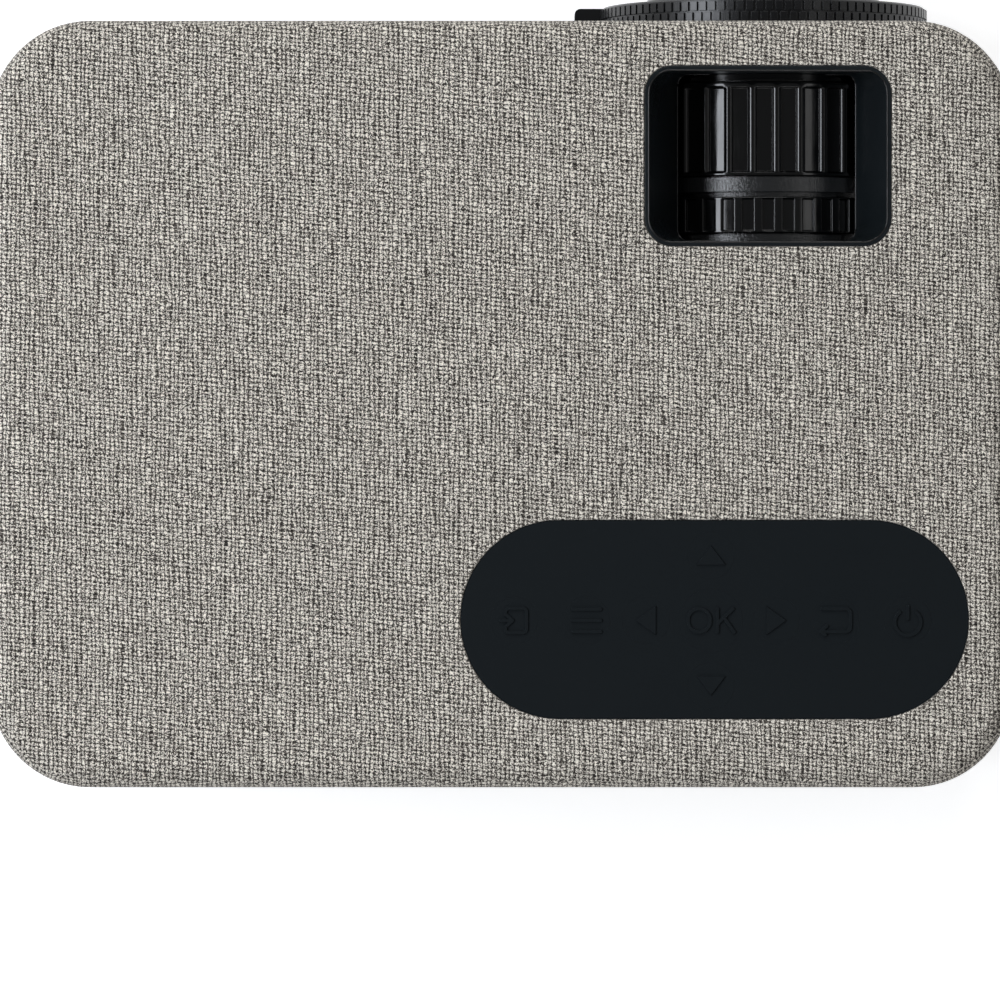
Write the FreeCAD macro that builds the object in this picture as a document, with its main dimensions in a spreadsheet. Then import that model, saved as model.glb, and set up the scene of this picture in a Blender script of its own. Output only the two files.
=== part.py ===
import FreeCAD, Part
import math
import os
import re
import Sketcher

# A tabletop projector with a disc drive in its left side, a lens and two control wheels at its
# right front, and a keypad in its fabric-covered top.  Millimetres; +X is the user's right seen
# from behind, +Y the way the lens looks, +Z up, z = 0 the table.  Coordinates in this file are
# measured from the middle of the body's plan; every finished sub-part is then moved back by
# half of the lens's reach, so that the model's own origin is the middle of its footprint.

SIZES = {
    # body and covering
    "body_width": 220.0,
    "body_depth": 165.0,
    "body_height": 100.0,
    "corner_radius": 21.5,
    "top_round": 5.0,
    "fabric": 0.9,
    "wall": 2.2,
    "panel_gap": 0.1,
    "flange": 2.0,
    "flange_thick": 1.5,
    # bottom case
    "foot_height": 4.0,
    "foot_radius": 7.0,
    "foot_stud": 2.0,
    "foot_inset_x": 26.0,
    "foot_inset_y": 24.5,
    "base_top": 16.0,
    "base_floor": 2.4,
    "base_edge": 2.0,
    "lip_height": 1.6,
    "lip_gap": 0.15,
    "lip_wall": 1.4,
    "post_radius": 4.0,
    "post_inset_x": 15.0,
    "post_inset_y": 12.0,
    "post_seam": 14.0,
    "stand_inset": 6.5,
    "drive_stand": 18.0,
    "screw_radius": 1.5,
    "screw_head": 2.8,
    "screw_head_thick": 2.0,
    "screw_sink": 1.0,
    "screw_length": 20.0,
    "screw_clear": 1.0,
    "screw_slack": 0.1,
    "intake_count": 8,
    "intake_width": 2.4,
    "intake_pitch": 6.0,
    "intake_length": 44.0,
    # tripod thread and tilting foot
    "tripod_x": 0.0,
    "tripod_y": 0.0,
    "tripod_radius": 3.175,
    "tripod_outer": 5.5,
    "tripod_depth": 9.0,
    "tilt_x": 0.0,
    "tilt_inset": 12.5,
    "tilt_lift": 0.4,
    "tilt_pad_radius": 7.5,
    "tilt_pad_thick": 1.3,
    "tilt_knob_radius": 9.0,
    "tilt_knob_thick": 1.7,
    "tilt_screw_radius": 3.0,
    "tilt_screw_top": 19.0,
    "tilt_boss_wall": 2.5,
    "tilt_boss_top": 17.0,
    "running_gap": 0.05,
    "small_gap": 0.3,
    # front, rear, right and left panels
    "fascia_side": 24.0,
    "fascia_sill": 4.0,
    "fascia_head": 10.0,
    "fascia_radius": 10.0,
    "grille_slots": 9,
    "grille_pitch": 3.6,
    "grille_slot": 1.6,
    "speaker_radius": 19.0,
    "speaker_inset": 49.0,
    "speaker_pitch": 49.0,
    "speaker_rise": 5.0,
    "speaker_flange": 2.5,
    "speaker_cone": 12.0,
    "speaker_magnet": 7.0,
    "speaker_magnet_radius": 11.0,
    "speaker_lip": 2.0,
    "speaker_step": 1.5,
    "speaker_dust_cap": 4.0,
    "infrared_radius": 3.2,
    "infrared_reach": 24.0,
    "infrared_rise": 8.0,
    "rear_side": 25.0,
    "rear_sill": 4.0,
    "rear_head": 16.0,
    "rear_radius": 6.0,
    "rear_slots": 10,
    "rear_slot": 3.0,
    "rear_pitch": 5.6,
    "rear_slot_margin": 7.0,
    "rear_slot_end": 2.5,
    "vent_end": 30.5,
    "vent_radius": 8.0,
    "vent_margin": 6.0,
    "vent_slot": 2.6,
    "vent_pitch": 5.0,
    "vent_slot_edge": 4.0,
    # control window over the two wheels
    "window_shift": -0.6,
    "window_inset": 29.3,
    "window_width": 52.8,
    "window_depth": 38.6,
    "window_radius": 6.0,
    "window_rim": 0.8,
    "window_deep": 24.0,
    "throat_shift_x": 0.45,
    "throat_shift_y": 0.65,
    "throat_width": 35.7,
    "throat_depth": 35.9,
    "throat_radius": 2.0,
    "throat_wall": 1.6,
    "wheel_clearance": 1.2,
    # keypad
    "keypad_inset_x": 64.25,
    "keypad_inset_y": 36.2,
    "keypad_width": 108.9,
    "keypad_depth": 42.5,
    "keypad_thick": 2.2,
    "keypad_wall": 1.0,
    "cross_shift_x": 0.75,
    "cross_shift_y": 0.2,
    "arrow_reach": 14.0,
    "menu_reach": 26.7,
    "end_reach": 42.2,
    "key_radius": 5.0,
    "ok_radius": 6.8,
    "key_gap": 0.1,
    "key_flange": 0.7,
    "key_flange_thick": 0.8,
    "key_travel": 0.4,
    "key_stem": 1.4,
    "pad_post_x": 35.7,
    "pad_post_y": 15.0,
    "pad_post_radius": 2.0,
    "switch_size": 5.0,
    "switch_height": 2.0,
    "key_board_depth": 7.8,
    "board_thick": 1.6,
    # lens and wheels, all turned about the lens axis
    "lens_reach": 13.5,
    "wheel_depth": 2.5,
    "mount_bore": 26.2,
    "mount_wall": 2.3,
    "mount_recess": 6.5,
    "mount_flange_over": 1.0,
    "mount_flange_thick": 3.0,
    "collar_drop": 1.0,
    "band_drop": 0.5,
    "band_inset": 33.1,
    "band_length": 3.2,
    "keystone_gap": 1.1,
    "keystone_length": 7.9,
    "keystone_flutes": 44,
    "keystone_flute": 2.5,
    "keystone_flute_depth": 0.7,
    "focus_recess": 12.4,
    "focus_ribs": 36,
    "focus_rib": 2.1,
    "focus_shift": 0.8,
    "focus_rib_depth": 0.9,
    "focus_band": 1.2,
    "focus_lip": 0.7,
    "wheel_play": 0.2,
    "clip_thick": 1.5,
    "focus_pin_radius": 1.5,
    "focus_pin_inset": 24.5,
    "focus_pin_over": 0.6,
    "focus_travel": 3.0,
    "barrel_inset": 42.5,
    "barrel_step_inset": 1.5,
    "barrel_chamfer": 1.0,
    "barrel_nose_drop": 0.6,
    "barrel_seat": 2.6,
    "nose_wall": 2.0,
    "nose_seat_reach": 2.5,
    "front_glass": 7.0,
    "front_curve": 70.0,
    "glass_ring": 2.4,
    "glass_ring_wall": 1.6,
    "inner_glass": 3.0,
    "inner_glass_inset": 4.0,
    "inner_glass_pitch": 12.0,
    "trim_radius": 36.15,
    "trim_reach": 5.3,
    "trim_slack": 0.4,
    "trim_sleeve_wall": 1.4,
    "trim_ribs": 108,
    "trim_rib_gap": 0.6,
    "trim_rib_depth": 0.5,
    "trim_row": 2.0,
    "trim_row_gap": 0.35,
    "lug_length": 5.5,
    "lug_height": 6.5,
    "lug_thick": 5.0,
    "lug_hole": 1.1,
    "lug_corner": 1.3,
    # light engine
    "engine_gap": 4.8,
    "fan_gap": 1.6,
    "engine_head": 2.6,
    "engine_rear_inset": 28.5,
    "engine_front_inset": 54.5,
    "engine_wall": 2.0,
    "engine_vents": 9,
    "engine_vent": 3.0,
    "engine_vent_pitch": 6.0,
    "engine_vent_height": 20.0,
    "engine_vent_rise": 15.0,
    "baffle_inset": 12.0,
    "baffle_lip": 2.5,
    "condenser_edge": 6.0,
    "condenser_thick": 9.0,
    "condenser_sag": 7.9,
    "heat_glass_thick": 1.1,
    "fresnel_behind": 15.0,
    "fresnel_ahead": 14.0,
    "fresnel_thick": 2.0,
    "lcd_inset": 25.0,
    "lcd_frame_gap": 3.0,
    "lcd_frame_height": 50.0,
    "lcd_frame_thick": 3.6,
    "lcd_border": 3.5,
    "lcd_height": 40.0,
    "lcd_thick": 1.8,
    "lcd_lip": 2.0,
    "lcd_pin": 1.5,
    "lcd_pin_root": 2.0,
    "sink_base": 4.0,
    "sink_fin": 1.2,
    "sink_fins": 13,
    "sink_depth": 18.0,
    "lamp_size": 24.0,
    "lamp_thick": 1.6,
    "lamp_dome": 6.0,
    # side fan
    "fan_size": 60.0,
    "fan_thick": 15.0,
    "fan_bore": 28.5,
    "fan_hub": 16.0,
    "fan_tip": 27.8,
    "fan_blades": 9,
    "fan_blade": 1.4,
    "fan_blade_sweep": 5.0,
    "fan_axle": 1.5,
    "fan_strut": 4.0,
    "fan_end_gap": 1.0,
    "fan_hub_thick": 3.0,
    "fan_axle_inset": 4.0,
    "fan_tip_gap": 0.6,
    # disc drive
    "drive_rise": 5.0,
    "drive_height": 12.8,
    "drive_side": 3.0,
    "drive_tail": 6.3,
    "sheet_metal": 0.8,
    "trim_head": 2.7,
    "trim_side": 6.5,
    "trim_band": 13.0,
    "bezel_over": 0.5,
    "bezel_gap": 0.4,
    "bezel_sill": 1.3,
    "bezel_head": 0.3,
    "tray_edge": 0.8,
    "tray_rise": 4.2,
    "tray_thick": 6.0,
    "tray_end_gap": 0.7,
    "disc_edge": 3.8,
    "disc_radius": 60.2,
    "disc_sink": 2.0,
    "hub_clear": 2.5,
    "sled_window": 15.0,
    "tray_web": 0.9,
    "tray_rib": 4.0,
    "tray_skin": 1.6,
    "rod_bar": 2.2,
    "rail_rise": 1.4,
    "rail_height": 3.2,
    "rail_wide": 1.5,
    "rail_length": 112.0,
    "rail_gap": 0.3,
    "eject_inset": 18.5,
    "eject_width": 8.0,
    "eject_height": 2.8,
    "eject_depth": 2.1,
    "eject_gap": 0.12,
    "release_hole": 0.7,
    "spindle_radius": 11.0,
    "hub_radius": 7.3,
    "hub_nose": 3.2,
    "motor_rise": 0.5,
    "motor_height": 5.3,
    "sled_start": 24.0,
    "sled_travel": 32.0,
    "sled_half": 7.6,
    "sled_width": 12.5,
    "sled_rise": 0.7,
    "sled_height": 5.6,
    "sled_lens": 2.2,
    "sled_lens_rise": 0.8,
    "sled_lens_root": 0.5,
    "guide_radius": 1.0,
    "guide_y": 10.5,
    "guide_rise": 1.6,
    "screw_rise": 2.0,
    "sled_motor_radius": 2.4,
    "spindle_axle": 1.1,
    "spindle_gap": 0.3,
    "axle_drop": 1.0,
    "motor_arm": 8.0,
    "hub_rim_drop": 0.2,
    "lead_radius": 1.2,
    # electronics
    "main_board_rise": 8.2,
    "main_board_inset": 22.0,
    "main_board_width": 102.0,
    "main_board_depth": 95.0,
    "main_board_back": 5.5,
    "standoff_radius": 2.6,
    "standoff_inset": 8.0,
    "power_board_rise": 15.0,
    "power_board_inset": 4.0,
    "power_board_width": 70.0,
    "power_board_depth": 55.0,
    "chip_size": 16.0,
    "chip_height": 2.2,
    "hdmi_inset": 70.0,
    "hdmi_width": 15.0,
    "hdmi_height": 5.8,
    "usb_inset": 91.0,
    "usb_pitch": 17.0,
    "usb_width": 13.4,
    "usb_height": 6.0,
    "socket_depth": 15.0,
    "socket_wall": 0.6,
    "socket_back": 2.0,
    "tongue_recess": 1.0,
    "tongue_thick": 1.2,
    "jack_inset": 36.0,
    "jack_pitch": 13.0,
    "jack_size": 8.0,
    "jack_bore": 1.8,
    "inlet_inset": 44.0,
    "inlet_width": 21.0,
    "inlet_height": 12.0,
    "inlet_depth": 20.0,
    "inlet_cavity": 15.0,
    "inlet_mouth": 8.4,
    "inlet_wall": 1.8,
    "inlet_pin": 1.2,
    "inlet_pins": 8.6,
    "inlet_pin_recess": 2.0,
    "small_can_radius": 2.5,
    "small_can_height": 6.0,
    "small_can_pitch": 9.0,
    "coil_size": 24.0,
    "coil_height": 18.0,
    "capacitor_radius": 7.0,
    "capacitor_height": 20.0,
}

FRONT = "body_depth/2"
REAR = "-body_depth/2"
RIGHT = "body_width/2"
LEFT = "-body_width/2"
SKIN = "(fabric + wall)"
FLOOR_TOP = "(foot_height + base_floor)"
PAST = 1    # how far a cutter runs past what it cuts
QUARTER = math.pi / 2

# Places and sizes that follow from the sizes above.
PLACES = {
    "foot_x": f"{RIGHT} - foot_inset_x",
    "foot_y": f"{FRONT} - foot_inset_y",
    "post_x": f"{RIGHT} - post_inset_x",
    "post_y": f"{FRONT} - post_inset_y",
    "tilt_y": f"{FRONT} - tilt_inset",
    # disc drive, laid out from the left wall and the bottom case's rim
    "disc_x": f"{LEFT} + disc_edge + disc_radius",
    "drive_right": "disc_x + disc_radius + drive_tail",
    "tray_half": "disc_radius + tray_edge",
    "drive_half": "tray_half + drive_side",
    "bezel_half": "drive_half + bezel_over",
    "trim_half": "bezel_half + trim_side",
    "drive_z": "base_top + drive_rise",
    "drive_top": "drive_z + drive_height",
    "bezel_low": "drive_z + bezel_sill",
    "bezel_high": "drive_top - bezel_head",
    "trim_top": "drive_top + trim_head",
    "tray_low": "drive_z + tray_rise",
    "tray_high": "tray_low + tray_thick",
    "tray_back": "drive_right - sheet_metal - tray_end_gap",
    "disc_floor": "tray_high - disc_sink",
    "rail_low": "tray_low + rail_rise",
    "eject_y": "eject_inset - bezel_half",
    "eject_z": "(bezel_low + bezel_high)/2",
    "hub_space": "spindle_radius + hub_clear",
    "motor_low": "drive_z + sheet_metal + motor_rise",
    "motor_top": "motor_low + motor_height",
    "hub_rim_top": "disc_floor - hub_rim_drop",
    "hub_top": "hub_rim_top + hub_nose",
    "sled_low": "motor_low + sled_rise",
    "sled_top": "sled_low + sled_height",
    "guide_z": "sled_low + guide_rise",
    "screw_z": "sled_low + screw_rise",
    "rod_bar_left": "disc_x + hub_space",
    "rod_bar_right": "rod_bar_left + rod_bar",
    # panels
    "fascia_width": "body_width - 2*fascia_side",
    "fascia_low": "base_top + fascia_sill",
    "fascia_height": "body_height - fascia_head - fascia_low",
    "fascia_z": "fascia_low + fascia_height/2",
    "rear_width": "body_width - 2*rear_side",
    "rear_low": "main_board_z - rear_sill",
    "rear_height": "body_height - rear_head - rear_low",
    "rear_z": "rear_low + rear_height/2",
    "rear_slots_x": f"{RIGHT} - rear_side - rear_slot_end - rear_slot/2 - (rear_slots - 1)/2*rear_pitch",
    "vent_length": "body_depth - 2*vent_end",
    "vent_slots": "floor((vent_length - 2*vent_margin)/vent_pitch) + 1",
    "speaker_left": f"{LEFT} + speaker_inset",
    "speaker_right": "speaker_left + speaker_pitch",
    "speaker_z": "fascia_z + speaker_rise",
    "infrared_x": "speaker_right + infrared_reach",
    "infrared_z": "fascia_low + infrared_rise",
    # light engine, between the drive and the fan and under the keypad
    "engine_left": "drive_right + engine_gap",
    "engine_right": f"{RIGHT} - {SKIN} - fan_thick - fan_gap",
    "engine_width": "engine_right - engine_left",
    "engine_height": "2*(key_board_top - board_thick - engine_head - lens_z)",
    "engine_rear": f"{REAR} + engine_rear_inset",
    "engine_front": f"{FRONT} - engine_front_inset",
    "baffle_y": "engine_rear + baffle_inset",
    "condenser_radius": "engine_width/2 - engine_wall - condenser_edge",
    "baffle_hole": "condenser_radius - baffle_lip",
    "condenser_curve": "(condenser_radius^2 + condenser_sag^2)/(2*condenser_sag)",
    "lcd_y": "engine_front - lcd_inset",
    "fresnel_rear": "lcd_y - fresnel_behind",
    "fresnel_front": "lcd_y + fresnel_ahead",
    "heat_glass_y": "(baffle_y + condenser_thick + fresnel_rear - heat_glass_thick)/2",
    "lcd_frame_width": "engine_width - 2*lcd_frame_gap",
    "lcd_width": "lcd_frame_width - 2*lcd_border",
    "fan_y": "fan_size/2 + flange - vent_length/2",
    # lens, on the engine's axis, laid out from the front
    "lens_x": "(engine_left + engine_right)/2",
    "lens_z": "fascia_z",
    "mount_outer": "mount_bore + mount_wall",
    "wheel_radius": "mount_outer + wheel_depth",
    "collar_radius": "wheel_radius - collar_drop",
    "band_radius": "wheel_radius - band_drop",
    "mount_flange": "wheel_radius + mount_flange_over",
    "mount_front": f"{FRONT} - mount_recess",
    "band_front": f"{FRONT} - band_inset",
    "band_rear": "band_front - band_length",
    "keystone_front": "band_rear - keystone_gap",
    "keystone_rear": "keystone_front - keystone_length",
    "focus_front": f"{FRONT} - focus_recess",
    "focus_pin_y": f"{FRONT} - focus_pin_inset",
    "focus_pin_top": "mount_outer + focus_pin_over",
    "barrel_rear": f"{FRONT} - barrel_inset",
    "barrel_step": f"{FRONT} - barrel_step_inset",
    "barrel_nose": "mount_bore - barrel_nose_drop",
    "nose_bore": "barrel_nose - nose_wall",
    "barrel_bore": "nose_bore - barrel_seat",
    "nose_seat": f"{FRONT} + nose_seat_reach",
    "glass_ring_bore": "nose_bore - glass_ring_wall",
    "inner_glass_first": "barrel_rear + inner_glass_inset",
    "trim_bore": "mount_bore + trim_slack",
    "trim_sleeve": "trim_bore + trim_sleeve_wall",
    # top window and keypad
    "window_x": "lens_x + window_shift",
    "window_y": f"{FRONT} - window_inset",
    "window_bottom": "body_height - window_deep",
    "throat_x": "window_x + throat_shift_x",
    "throat_y": "window_y + throat_shift_y",
    "keypad_x": f"{RIGHT} - keypad_inset_x",
    "keypad_y": f"{REAR} + keypad_inset_y",
    "cross_x": "keypad_x - cross_shift_x",
    "cross_y": "keypad_y - cross_shift_y",
    "key_board_top": "body_height - key_board_depth",
    # boards and sockets
    "main_board_z": "drive_top + main_board_rise",
    "main_board_left": f"{LEFT} + main_board_inset",
    "main_board_right": "main_board_left + main_board_width",
    "main_board_rear": f"{REAR} + main_board_back",
    "main_board_front": "main_board_rear + main_board_depth",
    "deck": "main_board_z + board_thick",
    "power_board_z": "main_board_z + power_board_rise",
    "power_board_left": "main_board_left + power_board_inset",
    "power_board_right": "power_board_left + power_board_width",
    "power_board_front": "main_board_rear + power_board_depth",
    "power_deck": "power_board_z + board_thick",
    "hdmi_x": f"{LEFT} + hdmi_inset",
    "usb_first": f"{LEFT} + usb_inset",
    "jack_first": f"{LEFT} + jack_inset",
    "inlet_x": f"{LEFT} + inlet_inset",
}

WORD = re.compile(r"[A-Za-z_][A-Za-z_0-9]*")
Vector = FreeCAD.Vector
TURN = {
    "X": FreeCAD.Rotation(Vector(0, 1, 0), 90),
    "Y": FreeCAD.Rotation(Vector(1, 0, 0), -90),
    "Z": FreeCAD.Rotation(),
}
NORMAL = {"XY_Plane": ("Z", 1), "XZ_Plane": ("Y", -1), "YZ_Plane": ("X", 1)}

doc = FreeCAD.newDocument("projector")
sheet = doc.addObject("Spreadsheet::Sheet", "Sizes")
nodes = []


# ---------------------------------------------------------------- sheet and expressions

def fill_sheet():
    for row, (alias, size) in enumerate(SIZES.items(), 1):
        sheet.set(f"A{row}", alias)
        sheet.set(f"B{row}", str(size))
        sheet.setAlias(f"B{row}", alias)
    doc.recompute()


def qualified(text):
    """The expression with each place written out and each size's name turned into its cell."""
    def written(word):
        name = word[0]
        if name in PLACES:
            return f"({qualified(PLACES[name])})"
        return f"Sizes.{name}" if name in SIZES else name
    return WORD.sub(written, str(text))


def value(text):
    """What an expression comes to with the sheet's present sizes."""
    return float(sheet.evalExpression(qualified(text)))


def bind(item, prop, text):
    item.setExpression(prop, qualified(text))


def count(alias):
    return int(round(value(alias)))


# ---------------------------------------------------------------- primitives and booleans

def block(name, x, y, z):
    """A box between a low and a high bound along each axis."""
    box = doc.addObject("Part::Box", name)
    for letter, side, (low, high) in (("x", "Length", x), ("y", "Width", y), ("z", "Height", z)):
        bind(box, f"Placement.Base.{letter}", low)
        bind(box, side, f"({high}) - ({low})")
    return box


def centred(middle, size):
    return (f"{middle} - ({size})/2", f"{middle} + ({size})/2")


def through(low, high):
    """The span of a cutter that goes right through a piece from low to high."""
    return (f"({low}) - {PAST}", f"({high}) + {PAST}")


def set_along(item, axis, at, low):
    """Lay a primitive that was made along Z along axis, from low, with its axis through at."""
    item.Placement = FreeCAD.Placement(Vector(), TURN[axis])
    across = [letter for letter in "xyz" if letter != axis.lower()]
    bind(item, f"Placement.Base.{axis.lower()}", low)
    for letter, place in zip(across, at):
        bind(item, f"Placement.Base.{letter}", place)


def rod(name, axis, at, radius, span):
    """A cylinder along axis, over span, with its axis through the other two coordinates at."""
    cylinder = doc.addObject("Part::Cylinder", name)
    bind(cylinder, "Radius", radius)
    bind(cylinder, "Height", f"({span[1]}) - ({span[0]})")
    set_along(cylinder, axis, at, span[0])
    return cylinder


def ball(name, centre, radius):
    sphere = doc.addObject("Part::Sphere", name)
    bind(sphere, "Radius", radius)
    for letter, place in zip("xyz", centre):
        bind(sphere, f"Placement.Base.{letter}", place)
    return sphere


def fuse(name, *shapes):
    joined = doc.addObject("Part::MultiFuse", name)
    joined.Shapes = list(shapes)
    joined.Refine = True
    return joined


def common(name, *shapes):
    shared = doc.addObject("Part::MultiCommon", name)
    shared.Shapes = list(shapes)
    return shared


def group(name, *shapes):
    """Several separate solids, or one primitive, as one object with a placement of its own."""
    compound = doc.addObject("Part::Compound", name)
    compound.Links = list(shapes)
    return compound


def cut(name, base, *tools):
    difference = doc.addObject("Part::Cut", name)
    difference.Base = base
    difference.Tool = tools[0] if len(tools) == 1 else group(f"{name}_tools", *tools)
    return difference


def node(label, item):
    """Name a finished sub-part and set its origin to the middle of the model's footprint."""
    item.Label = label
    bind(item, "Placement.Base.y", "-lens_reach/2")
    nodes.append(item)
    return item


# ---------------------------------------------------------------- sketched bodies

def sketch_on(body, name, plane, height):
    """A sketch on one of the body's own origin planes, moved to height along its axis."""
    sketch = body.newObject("Sketcher::SketchObject", name)
    support = next(item for item in body.Origin.OriginFeatures if item.Role == plane)
    sketch.AttachmentSupport = [(support, "")]
    sketch.MapMode = "FlatFace"
    bind(sketch, "AttachmentOffset.Base.z", f"{NORMAL[plane][1]}*({height})")
    return sketch


def dimension(sketch, kind, name, text, *where):
    index = sketch.addConstraint(Sketcher.Constraint(kind, *where, value(text)))
    sketch.renameConstraint(index, name)
    bind(sketch, f"Constraints.{name}", text)


def draw_polygon(sketch, corners):
    """A closed outline through corners, each corner held by its own two distances."""
    points = [Vector(value(across), value(along), 0) for across, along in corners]
    last = len(points) - 1
    lines = [Part.LineSegment(points[i], points[0 if i == last else i + 1]) for i in range(last + 1)]
    sketch.addGeometry(lines, False)
    for i in range(last + 1):
        after = 0 if i == last else i + 1
        sketch.addConstraint(Sketcher.Constraint("Coincident", i, 2, after, 1))
    for i, (across, along) in enumerate(corners):
        dimension(sketch, "DistanceX", f"across_{i}", across, -1, 1, i, 1)
        dimension(sketch, "DistanceY", f"along_{i}", along, -1, 1, i, 1)


def draw_rounded(sketch, centre, size, radius):
    """A rectangle with round corners, held by its four sides and one corner radius."""
    left, right = (value(text) for text in centred(centre[0], size[0]))
    low, high = (value(text) for text in centred(centre[1], size[1]))
    r = value(radius)
    arcs = [(right - r, low + r, -1), (right - r, high - r, 0), (left + r, high - r, 1),
            (left + r, low + r, 2)]
    ends = [((left + r, low), (right - r, low)), ((right, low + r), (right, high - r)),
            ((right - r, high), (left + r, high)), ((left, high - r), (left, low + r))]
    for (start, end), (x, y, turn) in zip(ends, arcs):
        sketch.addGeometry(Part.LineSegment(Vector(*start, 0), Vector(*end, 0)), False)
        circle = Part.Circle(Vector(x, y, 0), Vector(0, 0, 1), r)
        sketch.addGeometry(Part.ArcOfCircle(circle, turn * QUARTER, (turn + 1) * QUARTER), False)
    for i in range(8):
        sketch.addConstraint(Sketcher.Constraint("Tangent", i, 2, (i + 1) % 8, 1))
    for i, way in ((0, "Horizontal"), (4, "Horizontal"), (2, "Vertical"), (6, "Vertical")):
        sketch.addConstraint(Sketcher.Constraint(way, i))
    for i in (3, 5, 7):
        sketch.addConstraint(Sketcher.Constraint("Equal", 1, i))
    dimension(sketch, "Radius", "corner", radius, 1)
    dimension(sketch, "DistanceX", "right_side", centred(centre[0], size[0])[1], -1, 1, 2, 1)
    dimension(sketch, "DistanceX", "left_side", centred(centre[0], size[0])[0], -1, 1, 6, 1)
    dimension(sketch, "DistanceY", "high_side", centred(centre[1], size[1])[1], -1, 1, 4, 1)
    dimension(sketch, "DistanceY", "low_side", centred(centre[1], size[1])[0], -1, 1, 0, 1)


def draw_stadium(sketch, centre, size):
    """A straight-sided slot outline with half-round ends, longer along the sketch's first axis."""
    x, y = value(centre[0]), value(centre[1])
    r = value(size[1]) / 2
    half = value(size[0]) / 2 - r
    sketch.addGeometry(Part.LineSegment(Vector(x - half, y - r, 0), Vector(x + half, y - r, 0)), False)
    circle = Part.Circle(Vector(x + half, y, 0), Vector(0, 0, 1), r)
    sketch.addGeometry(Part.ArcOfCircle(circle, -QUARTER, QUARTER), False)
    sketch.addGeometry(Part.LineSegment(Vector(x + half, y + r, 0), Vector(x - half, y + r, 0)), False)
    circle = Part.Circle(Vector(x - half, y, 0), Vector(0, 0, 1), r)
    sketch.addGeometry(Part.ArcOfCircle(circle, QUARTER, 3 * QUARTER), False)
    for i in range(4):
        sketch.addConstraint(Sketcher.Constraint("Tangent", i, 2, (i + 1) % 4, 1))
    sketch.addConstraint(Sketcher.Constraint("Horizontal", 0))
    sketch.addConstraint(Sketcher.Constraint("Equal", 1, 3))
    dimension(sketch, "DistanceX", "right_centre", f"{centre[0]} + ({size[0]})/2 - ({size[1]})/2", -1, 1, 1,
              3)
    dimension(sketch, "DistanceX", "left_centre", f"{centre[0]} - ({size[0]})/2 + ({size[1]})/2", -1, 1, 3, 3)
    dimension(sketch, "DistanceY", "middle", centre[1], -1, 1, 1, 3)
    dimension(sketch, "Radius", "end_radius", f"({size[1]})/2", 1)


def slab(name, plane, centre, size, radius, span):
    """A plate on plane, over span along its normal; radius None gives half-round ends."""
    body = doc.addObject("PartDesign::Body", name)
    sketch = sketch_on(body, f"{name}_outline", plane, span[0])
    if radius is None:
        draw_stadium(sketch, centre, size)
    else:
        draw_rounded(sketch, centre, size, radius)
    pad = body.newObject("PartDesign::Pad", f"{name}_pad")
    pad.Profile = sketch
    pad.Reversed = NORMAL[plane][1] < 0
    bind(pad, "Length", f"({span[1]}) - ({span[0]})")
    return body


def turned(name, axis, corners, at):
    """A body of revolution about axis from (radius, place along the axis) corners."""
    body = doc.addObject("PartDesign::Body", name)
    plane = "XZ_Plane" if axis == "Z" else "XY_Plane"
    profile = sketch_on(body, f"{name}_profile", plane, "0")
    if axis == "X":
        corners = [(along, radius) for radius, along in corners]
    draw_polygon(profile, corners)
    revolution = body.newObject("PartDesign::Revolution", f"{name}_turn")
    revolution.Profile = profile
    revolution.ReferenceAxis = (profile, ["H_Axis" if axis == "X" else "V_Axis"])
    revolution.Angle = 360
    across = [letter for letter in "xyz" if letter != axis.lower()]
    for letter, place in zip(across, at):
        bind(body, f"Placement.Base.{letter}", place)
    return body


def repeat_round(body, feature, axis, occurrences, name):
    """Copy a feature evenly about one of the body's own axes."""
    pattern = body.newObject("PartDesign::PolarPattern", name)
    pattern.Originals = [feature]
    line = next(item for item in body.Origin.OriginFeatures if item.Role == f"{axis}_Axis")
    pattern.Axis = (line, [""])
    pattern.Angle = 360
    pattern.Occurrences = count(occurrences)
    bind(pattern, "Occurrences", occurrences)
    body.Tip = pattern


def rim_grooves(body, name, radius, depth, width, span, occurrences, shift="0"):
    """Grooves along Y, sunk into the rim of a body that is turned about Y, and shifted round it a little."""
    sketch = sketch_on(body, f"{name}_section", "XZ_Plane", span[0])
    bottom = f"({radius}) - ({depth})"
    top = f"({radius}) + {PAST}"
    low, high = centred(f"({shift})", width)
    draw_polygon(sketch, [(bottom, low), (top, low), (top, high), (bottom, high)])
    groove = body.newObject("PartDesign::Pocket", name)
    groove.Profile = sketch
    bind(groove, "Length", f"({span[1]}) - ({span[0]})")
    repeat_round(body, groove, "Y", occurrences, f"{name}_round")


def flat_face(shape, axis, highest):
    """Name of the flat face that lies furthest along an axis."""
    def reach(index):
        return getattr(shape.Faces[index].CenterOfMass, axis) * (1 if highest else -1)
    flats = [i for i, face in enumerate(shape.Faces)
             if face.Surface.TypeId == "Part::GeomPlane" and abs(getattr(face.normalAt(0, 0), axis)) > 0.99]
    return f"Face{max(flats, key=reach) + 1}"


def round_edge(body, name, axis, highest, radius):
    """Round the edges of the body's highest or lowest flat face."""
    doc.recompute()
    base = body.Tip
    fillet = body.newObject("PartDesign::Fillet", name)
    fillet.Base = (base, [flat_face(base.Shape, axis, highest)])
    bind(fillet, "Radius", radius)


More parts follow.
